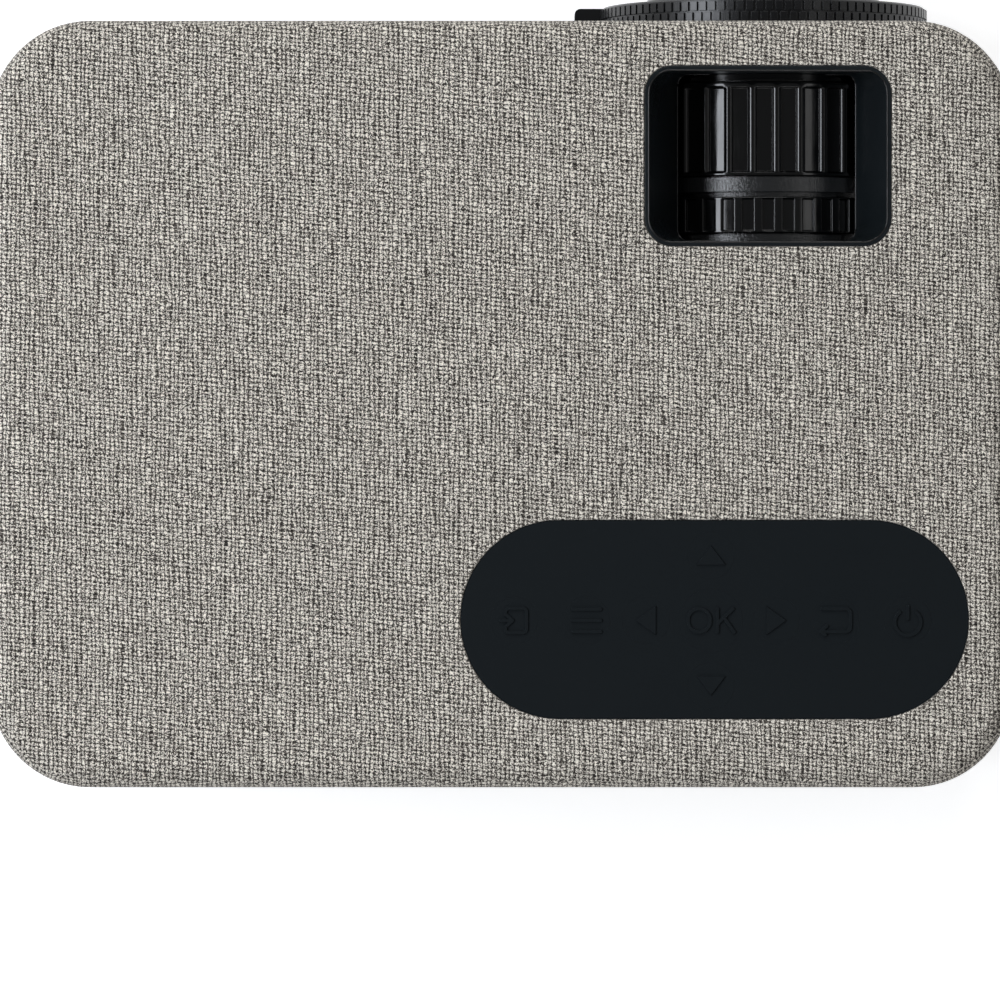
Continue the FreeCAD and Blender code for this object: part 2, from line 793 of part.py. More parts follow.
def toothed_ring(name, at, outer, inner, depth, gap, teeth, span, turn):
    """A tube along Y with straight grooves all round, extruded from its one outline.

    Its outline has hundreds of corners, which a sketch's solver would be slow with.
    """
    top, hollow, bottom = value(outer), value(inner), value(outer) - value(depth)
    pitch = 2 * math.pi / count(teeth)
    half_groove = value(gap) / value(outer) / 2
    corners = []
    for i in range(count(teeth)):
        middle = i * pitch + turn * pitch
        for angle, radius in ((-half_groove, top), (-half_groove, bottom), (half_groove, bottom),
                              (half_groove, top)):
            corners.append(Vector(radius * math.cos(middle + angle), 0, radius * math.sin(middle + angle)))
    face = Part.Face(Part.makePolygon(corners + corners[:1]))
    length = value(f"({span[1]}) - ({span[0]})")
    bore = Part.makeCylinder(hollow, length, Vector(), Vector(0, 1, 0))
    feature = doc.addObject("Part::Feature", name)
    feature.Shape = face.extrude(Vector(0, length, 0)).cut(bore)
    bind(feature, "Placement.Base.x", at[0])
    bind(feature, "Placement.Base.y", span[0])
    bind(feature, "Placement.Base.z", at[1])
    return feature


def ring(name, axis, at, outer, inner, span):
    """A plain tube."""
    return turned(name, axis, [(inner, span[0]), (outer, span[0]), (outer, span[1]), (inner, span[1])], at)


LENS_AXIS = ("lens_x", "lens_z")


# ---------------------------------------------------------------- casing

def shell_block(name, inset, span, edge=None):
    """The body's rounded plan, inset all round, as a solid over span; edge rounds its top."""
    size = (f"body_width - 2*({inset})", f"body_depth - 2*({inset})")
    body = slab(name, "XY_Plane", ("0", "0"), size, f"corner_radius - ({inset})", span)
    if edge is not None:
        round_edge(body, f"{name}_round", "z", True, edge)
    return body


def grown(size, margin):
    return (f"{size[0]} + 2*({margin})", f"{size[1]} + 2*({margin})")


WINDOW = (("window_x", "window_y"), ("window_width", "window_depth"), "window_radius")
KEYPAD = (("keypad_x", "keypad_y"), ("keypad_width", "keypad_depth"))
FASCIA = (("0", "fascia_z"), ("fascia_width", "fascia_height"), "fascia_radius")
BACK = (("0", "rear_z"), ("rear_width", "rear_height"), "rear_radius")
VENT = (("0", "lens_z"), ("vent_length", "fan_size + 2*flange"), "vent_radius")
CORNERS = ((1, 1), (-1, 1), (-1, -1), (1, -1))


def tray_wall_box(name, margin):
    """The part of the left wall that the drive's surround takes, with a margin round it."""
    side = f"trim_half + ({margin})"
    return block(name, (f"{LEFT} - {PAST}", f"{LEFT} + trim_band"), (f"-({side})", side),
                 (f"base_top - ({margin})", f"trim_top + ({margin})"))


def cover_openings():
    """Cutters for the six openings that the fabric and the cover share."""
    gap = "panel_gap"
    keypad = slab("keypad_hole", "XY_Plane", KEYPAD[0], grown(KEYPAD[1], gap), None,
                  through(f"body_height - {SKIN}", "body_height"))
    cutters = [keypad, tray_wall_box("tray_hole", gap)]
    walls = (("window", "XY_Plane", WINDOW, (f"body_height - {SKIN}", "body_height")),
             ("fascia", "XZ_Plane", FASCIA, (f"{FRONT} - {SKIN}", FRONT)),
             ("rear", "XZ_Plane", BACK, (REAR, f"{REAR} + {SKIN}")),
             ("vent", "YZ_Plane", VENT, (f"{RIGHT} - {SKIN}", RIGHT)))
    for name, plane, (centre, size, radius), span in walls:
        cutters.append(slab(f"{name}_hole", plane, centre, grown(size, gap), f"{radius} + {gap}",
                            through(*span)))
    return cutters


def corner_posts(name, radius, span):
    return [rod(f"{name}_{i}", "Z", (f"{sx}*post_x", f"{sy}*post_y"), radius, span)
            for i, (sx, sy) in enumerate(CORNERS)]


def covering(openings):
    outside = shell_block("wrap_outside", "0", ("base_top", "body_height"), "top_round")
    inside = shell_block("wrap_inside", "fabric", ("base_top", "body_height - fabric"), "top_round - fabric")
    node("fabric_wrap", cut("fabric_wrap", outside, inside, *openings))


def cover(openings):
    outside = shell_block("cover_outside", "fabric", ("base_top", "body_height - fabric"),
                          "top_round - fabric")
    inside = shell_block("cover_inside", SKIN, ("base_top", f"body_height - {SKIN}"), f"top_round - {SKIN}")
    shell = cut("cover_shell", outside, inside, *openings)
    posts = corner_posts("cover_post", "post_radius", ("post_seam", f"body_height - {SKIN}"))
    holes = corner_posts("cover_thread", "screw_radius",
                         (f"post_seam - {PAST}", "foot_height + screw_sink + screw_length"))
    node("top_cover", cut("top_cover", fuse("cover_with_posts", shell, *posts), *holes))


def bottom(screw_head_top):
    """The tray that everything stands on, with posts, a lip for the cover, vents and bosses."""
    outside = shell_block("case_outside", "fabric", ("foot_height", "base_top"))
    round_edge(outside, "case_edge", "z", False, "base_edge")
    inside = shell_block("case_inside", SKIN, (FLOOR_TOP, f"base_top + {PAST}"))
    tray = cut("case_tray", outside, inside)
    lip_inset = f"({SKIN} + lip_gap)"
    lip_span = ("base_top - lip_height", "base_top + lip_height")
    lip_outer = shell_block("lip_outside", lip_inset, lip_span)
    lip_inner = shell_block("lip_inside", f"({lip_inset} + lip_wall)", through(*lip_span))
    rib_outer = shell_block("rib_outside", SKIN, (FLOOR_TOP, "base_top - lip_height"))
    rib_inner = shell_block("rib_inside", f"({lip_inset} + lip_wall)", (FLOOR_TOP, "base_top"))
    lip = cut("case_lip", lip_outer, lip_inner, tray_wall_box("lip_notch", "flange + lip_gap"))
    rib = cut("case_rib", rib_outer, rib_inner)
    posts = corner_posts("case_post", "post_radius", (FLOOR_TOP, "post_seam"))
    stands = []
    engine_places = [(f"lens_x + {side}*(engine_width/2 - stand_inset)", y)
                     for side in (1, -1) for y in ("engine_rear + stand_inset", "engine_front - stand_inset")]
    drive_places = [(x, f"{side}*(drive_half - stand_inset)")
                    for side in (1, -1) for x in (f"{LEFT} + drive_stand", "drive_right - 2*stand_inset")]
    stand_sets = (("engine", engine_places, "lens_z - engine_height/2"), ("drive", drive_places, "drive_z"))
    for name, places, top in stand_sets:
        for i, place in enumerate(places):
            stands.append(rod(f"{name}_stand_{i}", "Z", place, "post_radius", (FLOOR_TOP, top)))
    tripod_boss = rod("tripod_boss", "Z", ("tripod_x", "tripod_y"), "tripod_outer + wall",
                      (FLOOR_TOP, "foot_height + tripod_depth"))
    tilt_boss = rod("tilt_boss", "Z", ("tilt_x", "tilt_y"), "tilt_screw_radius + tilt_boss_wall",
                    (FLOOR_TOP, "tilt_boss_top"))
    case = fuse("case_with_posts", tray, lip, rib, tripod_boss, tilt_boss, *posts, *stands)
    cutters = [rod("tripod_seat", "Z", ("tripod_x", "tripod_y"), "tripod_outer",
                   through("foot_height", "foot_height + tripod_depth"))]
    cutters.append(rod("tilt_hole", "Z", ("tilt_x", "tilt_y"), "tilt_screw_radius + running_gap",
                       through("foot_height", "tilt_boss_top")))
    cutters += corner_posts("screw_way", "screw_radius + screw_slack", through("foot_height", "post_seam"))
    cutters += corner_posts("screw_recess", "screw_head + screw_slack",
                            (f"foot_height - {PAST}", screw_head_top))
    for i, (sx, sy) in enumerate(CORNERS):
        cutters.append(rod(f"foot_socket_{i}", "Z", (f"{sx}*foot_x", f"{sy}*foot_y"), "foot_stud",
                           through("foot_height", FLOOR_TOP)))
    for i in range(count("intake_count")):
        middle = f"lens_x + ({i} - (intake_count - 1)/2)*intake_pitch"
        cutters.append(block(f"intake_{i}", centred(middle, "intake_width"),
                             centred("(engine_rear + engine_front)/2", "intake_length"),
                             through("foot_height", FLOOR_TOP)))
    node("bottom_case", cut("bottom_case", case, *cutters))


def feet_and_fasteners(screw_head_top):
    feet = []
    for i, (sx, sy) in enumerate(CORNERS):
        corners = [("0", "0"), ("foot_radius", "0"), ("foot_radius", "foot_height"),
                   ("foot_stud", "foot_height"),
                   ("foot_stud", FLOOR_TOP), ("0", FLOOR_TOP)]
        feet.append(turned(f"foot_{i}", "Z", corners, (f"{sx}*foot_x", f"{sy}*foot_y")))
    node("rubber_feet", group("rubber_feet", *feet))
    screws = []
    low = f"({screw_head_top} - screw_head_thick)"
    tip = "(foot_height + screw_sink + screw_length - screw_clear)"
    for i, (sx, sy) in enumerate(CORNERS):
        corners = [("0", low), ("screw_head", low), ("screw_head", screw_head_top),
                   ("screw_radius", screw_head_top),
                   ("screw_radius", tip), ("0", tip)]
        screws.append(turned(f"screw_{i}", "Z", corners, (f"{sx}*post_x", f"{sy}*post_y")))
    node("case_screws", group("case_screws", *screws))
    node("tripod_nut", group("tripod_nut", ring("tripod_sleeve", "Z", ("tripod_x", "tripod_y"),
                                                "tripod_outer",
         "tripod_radius", ("foot_height", "foot_height + tripod_depth"))))


def tilting_foot():
    at = ("tilt_x", "tilt_y")
    knob_low = "(tilt_lift + tilt_pad_thick)"
    knob_high = f"({knob_low} + tilt_knob_thick)"
    pad = rod("tilt_pad", "Z", at, "tilt_pad_radius", ("tilt_lift", knob_low))
    node("tilt_foot_pad", group("tilt_foot_pad", pad))
    corners = [("0", knob_low), ("tilt_knob_radius", knob_low), ("tilt_knob_radius", knob_high),
               ("tilt_screw_radius", knob_high), ("tilt_screw_radius", "tilt_screw_top"),
               ("0", "tilt_screw_top")]
    screw = turned("tilt_screw", "Z", corners, at)
    node("tilt_foot_screw", group("tilt_foot_screw", screw))


# ---------------------------------------------------------------- panels set into the casing

def flanged_panel(name, plane, outline, outer, inward):
    """A plate flush with the covering, and a flange behind it that seats inside the cover."""
    centre, size, radius = outline
    skin = f"{outer} + {inward}*{SKIN}"
    back = f"{skin} + {inward}*flange_thick"
    spans = [(skin, outer), (back, skin)] if inward < 0 else [(outer, skin), (skin, back)]
    plate = slab(f"{name}_plate", plane, centre, size, radius, spans[0])
    brim = slab(f"{name}_brim", plane, centre, grown(size, "flange"), f"{radius} + flange", spans[1])
    hollow = slab(f"{name}_hollow", plane, centre, grown(size, "-flange"), f"{radius} - flange", spans[1])
    return fuse(f"{name}_blank", plate, cut(f"{name}_flange", brim, hollow))


def front_fascia():
    blank = flanged_panel("front", "XZ_Plane", FASCIA, FRONT, -1)
    depth = through(f"{FRONT} - {SKIN} - flange_thick", FRONT)
    cutters = [rod("fascia_lens_hole", "Y", LENS_AXIS, "trim_sleeve", depth)]
    cutters.append(rod("fascia_eye_hole", "Y", ("infrared_x", "infrared_z"), "infrared_radius", depth))
    for side in ("speaker_left", "speaker_right"):
        for i in range(count("grille_slots")):
            offset = f"(({i} - (grille_slots - 1)/2)*grille_pitch)"
            half = f"sqrt((speaker_radius - flange)^2 - {offset}^2)"
            cutters.append(block(f"{side}_slot_{i}", (f"{side} - {half}", f"{side} + {half}"), depth,
                                 centred(f"speaker_z + {offset}", "grille_slot")))
    node("front_panel", cut("front_panel", blank, *cutters))
    eye = rod("eye", "Y", ("infrared_x", "infrared_z"), "infrared_radius", (f"{FRONT} - {SKIN}", FRONT))
    node("remote_window", group("remote_window", eye))


def rear_connector_panel():
    blank = flanged_panel("rear", "XZ_Plane", BACK, REAR, 1)
    depth = through(REAR, f"{REAR} + {SKIN} + flange_thick")
    gap = "panel_gap"
    sockets = [("hdmi", "hdmi_x", "hdmi_width", "hdmi_height", "deck"),
               ("inlet", "inlet_x", "inlet_width", "inlet_height", "power_deck")]
    for i in range(2):
        sockets.append((f"usb_{i}", f"usb_first + {i}*usb_pitch", "usb_width", "usb_height", "deck"))
        sockets.append((f"jack_{i}", f"jack_first + {i}*jack_pitch", "jack_size", "jack_size", "deck"))
    cutters = [block(f"{name}_way", centred(x, f"{width} + 2*{gap}"), depth,
                     (f"{low} - {gap}", f"{low} + {height} + {gap}"))
               for name, x, width, height, low in sockets]
    for i in range(count("rear_slots")):
        middle = f"rear_slots_x + ({i} - (rear_slots - 1)/2)*rear_pitch"
        cutters.append(block(f"rear_slot_{i}", centred(middle, "rear_slot"), depth,
                             centred("rear_z", "rear_height - 2*rear_slot_margin")))
    node("rear_panel", cut("rear_panel", blank, *cutters))


def side_grille():
    blank = flanged_panel("side", "YZ_Plane", VENT, RIGHT, -1)
    slots = []
    for i in range(count("vent_slots")):
        middle = f"({i} - (vent_slots - 1)/2)*vent_pitch"
        slots.append(block(f"vent_slot_{i}", through(f"{RIGHT} - {SKIN} - flange_thick", RIGHT),
                           centred(middle, "vent_slot"), centred("lens_z", "fan_size - 2*vent_slot_edge")))
    node("side_vent", cut("side_vent", blank, *slots))


def drive_surround():
    """Trim round the tray's mouth; it follows the body's plan into both corners."""
    span = ("base_top", "trim_top + flange")
    whole = shell_block("trim_outside", "0", span)
    behind = shell_block("trim_behind", SKIN, through(*span))
    plate = cut("trim_plate", common("trim_wall", whole, tray_wall_box("trim_box", "0")), behind)
    seat = shell_block("trim_seat", SKIN, span)
    inner = shell_block("trim_inner", f"({SKIN} + flange_thick)", through(*span))
    brim = cut("trim_brim", common("trim_seat_box", seat, tray_wall_box("trim_seat_cut", "flange")), inner)
    mouth = block("trim_mouth", through(LEFT, f"{LEFT} + trim_band"),
                  ("-bezel_half - bezel_gap", "bezel_half + bezel_gap"),
                  ("bezel_low - bezel_gap", "bezel_high + bezel_gap"))
    node("drive_surround", cut("drive_surround", fuse("trim_blank", plate, brim), mouth))


def loft(name, kind, lower, upper):
    """A loft between two rounded rectangles, each given as (centre, size, radius, height)."""
    body = doc.addObject("PartDesign::Body", name)
    sections = []
    for end, (centre, size, radius, height) in (("low", lower), ("high", upper)):
        sketch = sketch_on(body, f"{name}_{end}", "XY_Plane", height)
        draw_rounded(sketch, centre, size, radius)
        sections.append(sketch)
    feature = body.newObject(kind, f"{name}_loft")
    feature.Profile = sections[0]
    feature.Sections = [sections[1]]
    return body


def wheel_window():
    """Frame round the wheels' opening, with a throat that narrows down to the wheels."""
    centre, size, radius = WINDOW
    under = f"(body_height - {SKIN})"
    brim_low = f"({under} - flange_thick)"
    rim = slab("window_frame", "XY_Plane", centre, size, radius, (brim_low, "body_height"))
    brim = slab("window_brim", "XY_Plane", centre, grown(size, "flange"), f"{radius} + flange",
                (brim_low, under))
    throat_centre = ("throat_x", "throat_y")
    throat = ("throat_width", "throat_depth")
    outer = loft("throat_outside", "PartDesign::AdditiveLoft",
                 (throat_centre, grown(throat, "throat_wall"), "throat_radius + throat_wall",
                  "window_bottom"),
                 (centre, size, radius, brim_low))
    inner = loft("throat_inside", "PartDesign::AdditiveLoft",
                 (throat_centre, throat, "throat_radius", "window_bottom"),
                 (centre, grown(size, "-window_rim"), f"{radius} - window_rim", "body_height"))
    wheels = rod("wheel_way", "Y", LENS_AXIS, "wheel_radius + wheel_clearance",
                 through("window_y - window_depth/2 - flange", "window_y + window_depth/2 + flange"))
    node("control_window", cut("control_window", fuse("window_blank", rim, brim, outer), inner, wheels))


# ---------------------------------------------------------------- keypad

KEYS = {
    "ok": ("0", "0", "ok_radius"),
    "left": ("-arrow_reach", "0", "key_radius"),
    "right": ("arrow_reach", "0", "key_radius"),
    "up": ("0", "arrow_reach", "key_radius"),
    "down": ("0", "-arrow_reach", "key_radius"),
    "menu": ("-menu_reach", "0", "key_radius"),
    "back": ("menu_reach", "0", "key_radius"),
    "source": ("-end_reach", "0", "key_radius"),
    "power": ("end_reach", "0", "key_radius"),
}


def key_centre(name):
    return (f"cross_x + {KEYS[name][0]}", f"cross_y + {KEYS[name][1]}")


def keypad():
    """A flush pad with nine round keys, each held up under it by a flange over its switch."""
    top = "body_height"
    under_pad = "(body_height - keypad_thick)"
    under_cover = f"(body_height - {SKIN})"
    brim_low = f"({under_cover} - flange_thick)"
    board = "key_board_top"
    plate = slab("pad_plate", "XY_Plane", KEYPAD[0], KEYPAD[1], None, (under_pad, top))
    wall = slab("pad_wall", "XY_Plane", KEYPAD[0], KEYPAD[1], None, (brim_low, under_pad))
    brim = slab("pad_brim", "XY_Plane", KEYPAD[0], grown(KEYPAD[1], "flange"), None, (brim_low, under_cover))
    hollow = slab("pad_hollow", "XY_Plane", KEYPAD[0], grown(KEYPAD[1], "-keypad_wall"), None,
                  (f"{brim_low} - {PAST}", under_pad))
    tray = cut("pad_tray", fuse("pad_blank", plate, wall, brim), hollow)
    posts = [rod(f"pad_post_{i}", "Z", (f"keypad_x + {sx}*pad_post_x", f"keypad_y + {sy}*pad_post_y"),
                 "pad_post_radius", (board, under_pad)) for i, (sx, sy) in enumerate(CORNERS)]
    ways = [rod(f"key_way_{name}", "Z", key_centre(name), f"{KEYS[name][2]} + key_gap",
                through(under_pad, top))
            for name in KEYS]
    node("keypad_panel", cut("keypad_panel", fuse("pad_body", tray, *posts), *ways))
    switch_top = f"({board} + switch_height)"
    brim_top = f"({under_pad} - key_gap)"
    key_low = f"({brim_top} - key_flange_thick)"
    stem_low = f"({switch_top} + key_travel + key_gap)"
    for name in KEYS:
        radius = KEYS[name][2]
        corners = [("0", stem_low), ("key_stem", stem_low), ("key_stem", key_low),
                   (f"{radius} + key_flange", key_low), (f"{radius} + key_flange", brim_top),
                   (radius, brim_top), (radius, top), ("0", top)]
        node(f"key_{name}", group(f"key_{name}", turned(f"{name}_cap", "Z", corners, key_centre(name))))
    plate = slab("key_plate", "XY_Plane", KEYPAD[0], grown(KEYPAD[1], "-keypad_wall - small_gap"), None,
                 ("key_board_top - board_thick", board))
    switches = [block(f"switch_{name}", centred(key_centre(name)[0], "switch_size"),
                      centred(key_centre(name)[1], "switch_size"), (board, switch_top)) for name in KEYS]
    node("key_board", fuse("key_board", plate, *switches))


# ---------------------------------------------------------------- lens and its wheels

def trim_ring():
    """Ribbed ring round the lens, its sleeve through the fascia, and a tether lug."""
    back = FRONT
    face = f"({FRONT} + trim_reach)"
    root = "(trim_radius - trim_rib_depth)"
    corners = [("trim_bore", "mount_front"), ("trim_sleeve", "mount_front"), ("trim_sleeve", back),
               (root, back),
               (root, f"{face} - trim_row_gap"), (f"{root} - trim_row_gap", face), ("trim_bore", face)]
    body = turned("trim_turned", "Y", corners, LENS_AXIS)
    first = f"({back} + trim_row_gap)"
    second = f"({first} + trim_row + trim_row_gap)"
    rows = [toothed_ring(f"trim_row_{i}", LENS_AXIS, "trim_radius", f"{root} - {PAST}", "trim_rib_depth",
                         "trim_rib_gap", "trim_ribs", (low, f"{low} + trim_row"), i / 2)
            for i, low in enumerate((first, second))]
    reach = "trim_radius + lug_length"
    inside = f"({root} - lug_corner - {PAST})"
    lug = slab("lug_blank", "XY_Plane", (f"lens_x - ({reach} + {inside})/2", f"{back} + trim_reach/2"),
               (f"({reach}) - {inside}", "lug_thick"), "lug_corner", centred("lens_z", "lug_height"))
    hole = rod("lug_hole_tool", "Y", (f"lens_x - ({reach}) + 2*lug_hole", "lens_z"), "lug_hole",
               (back, f"{back} + trim_reach"))
    node("lens_ring", cut("lens_ring", fuse("trim_with_lug", body, lug, *rows), hole))


def mount_and_wheels():
    bore = "mount_bore"
    outer = "mount_outer"
    rear = "engine_front"
    collar_front = "(keystone_rear - wheel_play)"
    corners = [(bore, rear), ("mount_flange", rear), ("mount_flange", f"{rear} + mount_flange_thick"),
               ("collar_radius", f"{rear} + mount_flange_thick"), ("collar_radius", collar_front),
               (outer, collar_front),
               (outer, "band_rear"), ("band_radius", "band_rear"), ("band_radius", "band_front"),
               (outer, "band_front"),
               (outer, "mount_front"), (bore, "mount_front")]
    tube = turned("mount_tube", "Y", corners, LENS_AXIS)
    slot = block("pin_slot", centred("lens_x", "2*focus_pin_radius + 4*running_gap"),
                 centred("focus_pin_y", "2*(focus_pin_radius + focus_travel + small_gap)"),
                 through("lens_z - mount_outer", "lens_z - mount_bore"))
    node("lens_mount", cut("lens_mount", tube, slot))
    free = f"({outer} + running_gap)"
    groove = "(focus_pin_top + wheel_play)"
    rear = "(band_front + wheel_play)"
    half = "(focus_travel + focus_pin_radius + small_gap)"
    corners = [(free, rear), ("wheel_radius", rear), ("wheel_radius", "focus_front"), (free, "focus_front"),
               (free, f"focus_pin_y + {half}"), (groove, f"focus_pin_y + {half}"),
               (groove, f"focus_pin_y - {half}"),
               (free, f"focus_pin_y - {half}")]
    wheel = turned("focus_turned", "Y", corners, LENS_AXIS)
    rim_grooves(wheel, "focus_grooves", "wheel_radius", "focus_rib_depth",
                "2*pi*wheel_radius/focus_ribs - focus_rib",
                (f"{rear} + focus_lip", "focus_front - focus_band"), "focus_ribs", "focus_shift")
    node("focus_ring", group("focus_ring", wheel))
    wheel = ring("keystone_turned", "Y", LENS_AXIS, "wheel_radius", free, ("keystone_rear", "keystone_front"))
    rim_grooves(wheel, "keystone_grooves", "wheel_radius", "keystone_flute_depth", "keystone_flute",
                ("keystone_rear", "keystone_front"), "keystone_flutes")
    node("keystone_ring", group("keystone_ring", wheel))
    clip_low = "(focus_front + wheel_play)"
    node("focus_ring_clip", group("focus_ring_clip", ring("clip_ring", "Y", LENS_AXIS, "collar_radius", outer,
         (clip_low, f"{clip_low} + clip_thick"))))


def barrel_and_glass():
    body = "(mount_bore - running_gap)"
    front = f"({FRONT} + lens_reach)"
    corners = [("barrel_bore", "barrel_rear"), (body, "barrel_rear"), (body, "barrel_step"),
               ("barrel_nose", "barrel_step + barrel_chamfer"), ("barrel_nose", front), ("nose_bore", front),
               ("nose_bore", "nose_seat"), ("barrel_bore", "nose_seat")]
    tube = turned("barrel_tube", "Y", corners, LENS_AXIS)
    pin = rod("focus_pin", "Z", ("lens_x", "focus_pin_y"), "focus_pin_radius",
              ("lens_z - focus_pin_top", "lens_z - (mount_bore + barrel_bore)/2"))
    node("lens_barrel", fuse("lens_barrel", tube, pin))
    blank = rod("front_blank", "Y", LENS_AXIS, "nose_bore", ("nose_seat", "nose_seat + front_glass"))
    dome = ball("front_dome", ("lens_x", "nose_seat + front_glass - front_curve", "lens_z"), "front_curve")
    node("front_lens", common("front_lens", blank, dome))
    edge = "(nose_seat + front_glass - front_curve + sqrt(front_curve^2 - glass_ring_bore^2))"
    low = f"({edge} + running_gap)"
    node("front_lens_ring", group("front_lens_ring",
                                  ring("glass_ring_tube", "Y", LENS_AXIS, "nose_bore", "glass_ring_bore",
         (low, f"{low} + glass_ring"))))
    discs = []
    for i in range(3):
        low = f"(inner_glass_first + {i}*inner_glass_pitch)"
        discs.append(rod(f"inner_disc_{i}", "Y", LENS_AXIS, "barrel_bore", (low, f"{low} + inner_glass")))
    node("inner_lenses", group("inner_lenses", *discs))


# ---------------------------------------------------------------- light engine

def across_engine(name, margin, y):
    """A plate that spans the engine's inside, less a margin all round."""
    return block(name, centred("lens_x", f"engine_width - 2*engine_wall - 2*({margin})"), y,
                 centred("lens_z", f"engine_height - 2*engine_wall - 2*({margin})"))


def engine_box():
    outside = block("engine_outside", centred("lens_x", "engine_width"), ("engine_rear", "engine_front"),
                    centred("lens_z", "engine_height"))
    inside = across_engine("engine_inside", "0", (f"engine_rear - {PAST}", "engine_front - engine_wall"))
    box = cut("engine_tube", outside, inside)
    baffle = across_engine("engine_baffle", "0", ("baffle_y - engine_wall", "baffle_y"))
    way = rod("baffle_way", "Y", LENS_AXIS, "baffle_hole", through("baffle_y - engine_wall", "baffle_y"))
    front = rod("engine_aperture", "Y", LENS_AXIS, "mount_bore",
                through("engine_front - engine_wall", "engine_front"))
    pivots = rod("frame_pivots", "X", ("lcd_y", "lens_z"), "lcd_pin + running_gap",
                 through("lens_x - engine_width/2", "lens_x + engine_width/2"))
    vents = []
    for i in range(count("engine_vents")):
        middle = f"fan_y + ({i} - (engine_vents - 1)/2)*engine_vent_pitch"
        vents.append(block(f"engine_vent_{i}", ("lens_x", f"engine_right + {PAST}"),
                           centred(middle, "engine_vent"),
                           centred("lens_z + engine_vent_rise", "engine_vent_height")))
    blank = fuse("engine_blank", box, cut("baffle_plate", baffle, way))
    node("engine_housing", cut("engine_housing", blank, front, pivots, *vents))


def optics():
    blank = rod("condenser_blank", "Y", LENS_AXIS, "condenser_radius",
                ("baffle_y", "baffle_y + condenser_thick"))
    dome = ball("condenser_dome", ("lens_x", "baffle_y + condenser_thick - condenser_curve", "lens_z"),
                "condenser_curve")
    node("condenser_lens", common("condenser_lens", blank, dome))
    plate = across_engine("heat_plate", "0", ("heat_glass_y", "heat_glass_y + heat_glass_thick"))
    node("heat_glass", group("heat_glass", plate))
    plates = [across_engine(f"plate_{low}", "0", (low, f"{low} + fresnel_thick"))
              for low in ("fresnel_rear", "fresnel_front")]
    node("fresnel_lenses", group("fresnel_lenses", *plates))


def lcd():
    """Picture panel in a frame that tilts on two side pins."""
    y = centred("lcd_y", "lcd_frame_thick")
    outside = block("frame_outside", centred("lens_x", "lcd_frame_width"), y,
                    centred("lens_z", "lcd_frame_height"))
    inside = block("frame_inside", centred("lens_x", "lcd_width - 2*lcd_lip"),
                   through("lcd_y - lcd_frame_thick/2", "lcd_y + lcd_frame_thick/2"),
                   centred("lens_z", "lcd_height - 2*lcd_lip"))
    seat = block("frame_seat", centred("lens_x", "lcd_width"),
                 ("lcd_y", f"lcd_y + lcd_frame_thick/2 + {PAST}"),
                 centred("lens_z", "lcd_height"))
    half = "(lcd_frame_width/2 - lcd_pin_root)"
    pins = [rod(f"frame_pin_{i}", "X", ("lcd_y", "lens_z"), "lcd_pin", span)
            for i, span in enumerate((("engine_left", f"lens_x - {half}"),
                                      (f"lens_x + {half}", "engine_right")))]
    node("lcd_frame", fuse("lcd_frame", cut("frame_blank", outside, inside, seat), *pins))
    glass = block("lcd_glass", centred("lens_x", "lcd_width"), ("lcd_y", "lcd_y + lcd_thick"),
                  centred("lens_z", "lcd_height"))
    node("lcd_panel", group("lcd_panel", glass))


def lamp():
    rear = "engine_rear"
    base_back = f"({rear} - sink_base)"
    base = block("sink_plate", centred("lens_x", "engine_width"), (base_back, rear),
                 centred("lens_z", "engine_height"))
    fins = []
    for i in range(count("sink_fins")):
        middle = f"lens_x + ({i} - (sink_fins - 1)/2)*(engine_width - sink_fin)/(sink_fins - 1)"
        fins.append(block(f"sink_fin_{i}", centred(middle, "sink_fin"),
                          (f"{base_back} - sink_depth", base_back),
                          centred("lens_z", "engine_height")))
    node("lamp_heatsink", fuse("lamp_heatsink", base, *fins))
    base = block("lamp_base", centred("lens_x", "lamp_size"), (rear, f"{rear} + lamp_thick"),
                 centred("lens_z", "lamp_size"))
    dome = ball("lamp_dome_ball", ("lens_x", f"{rear} + lamp_thick", "lens_z"), "lamp_dome")
    behind = block("lamp_behind", centred("lens_x", "lamp_size"),
                   (f"{rear} - lamp_size", f"{rear} + lamp_thick"),
                   centred("lens_z", "lamp_size"))
    node("led_lamp", fuse("led_lamp", base, cut("lamp_cap", dome, behind)))


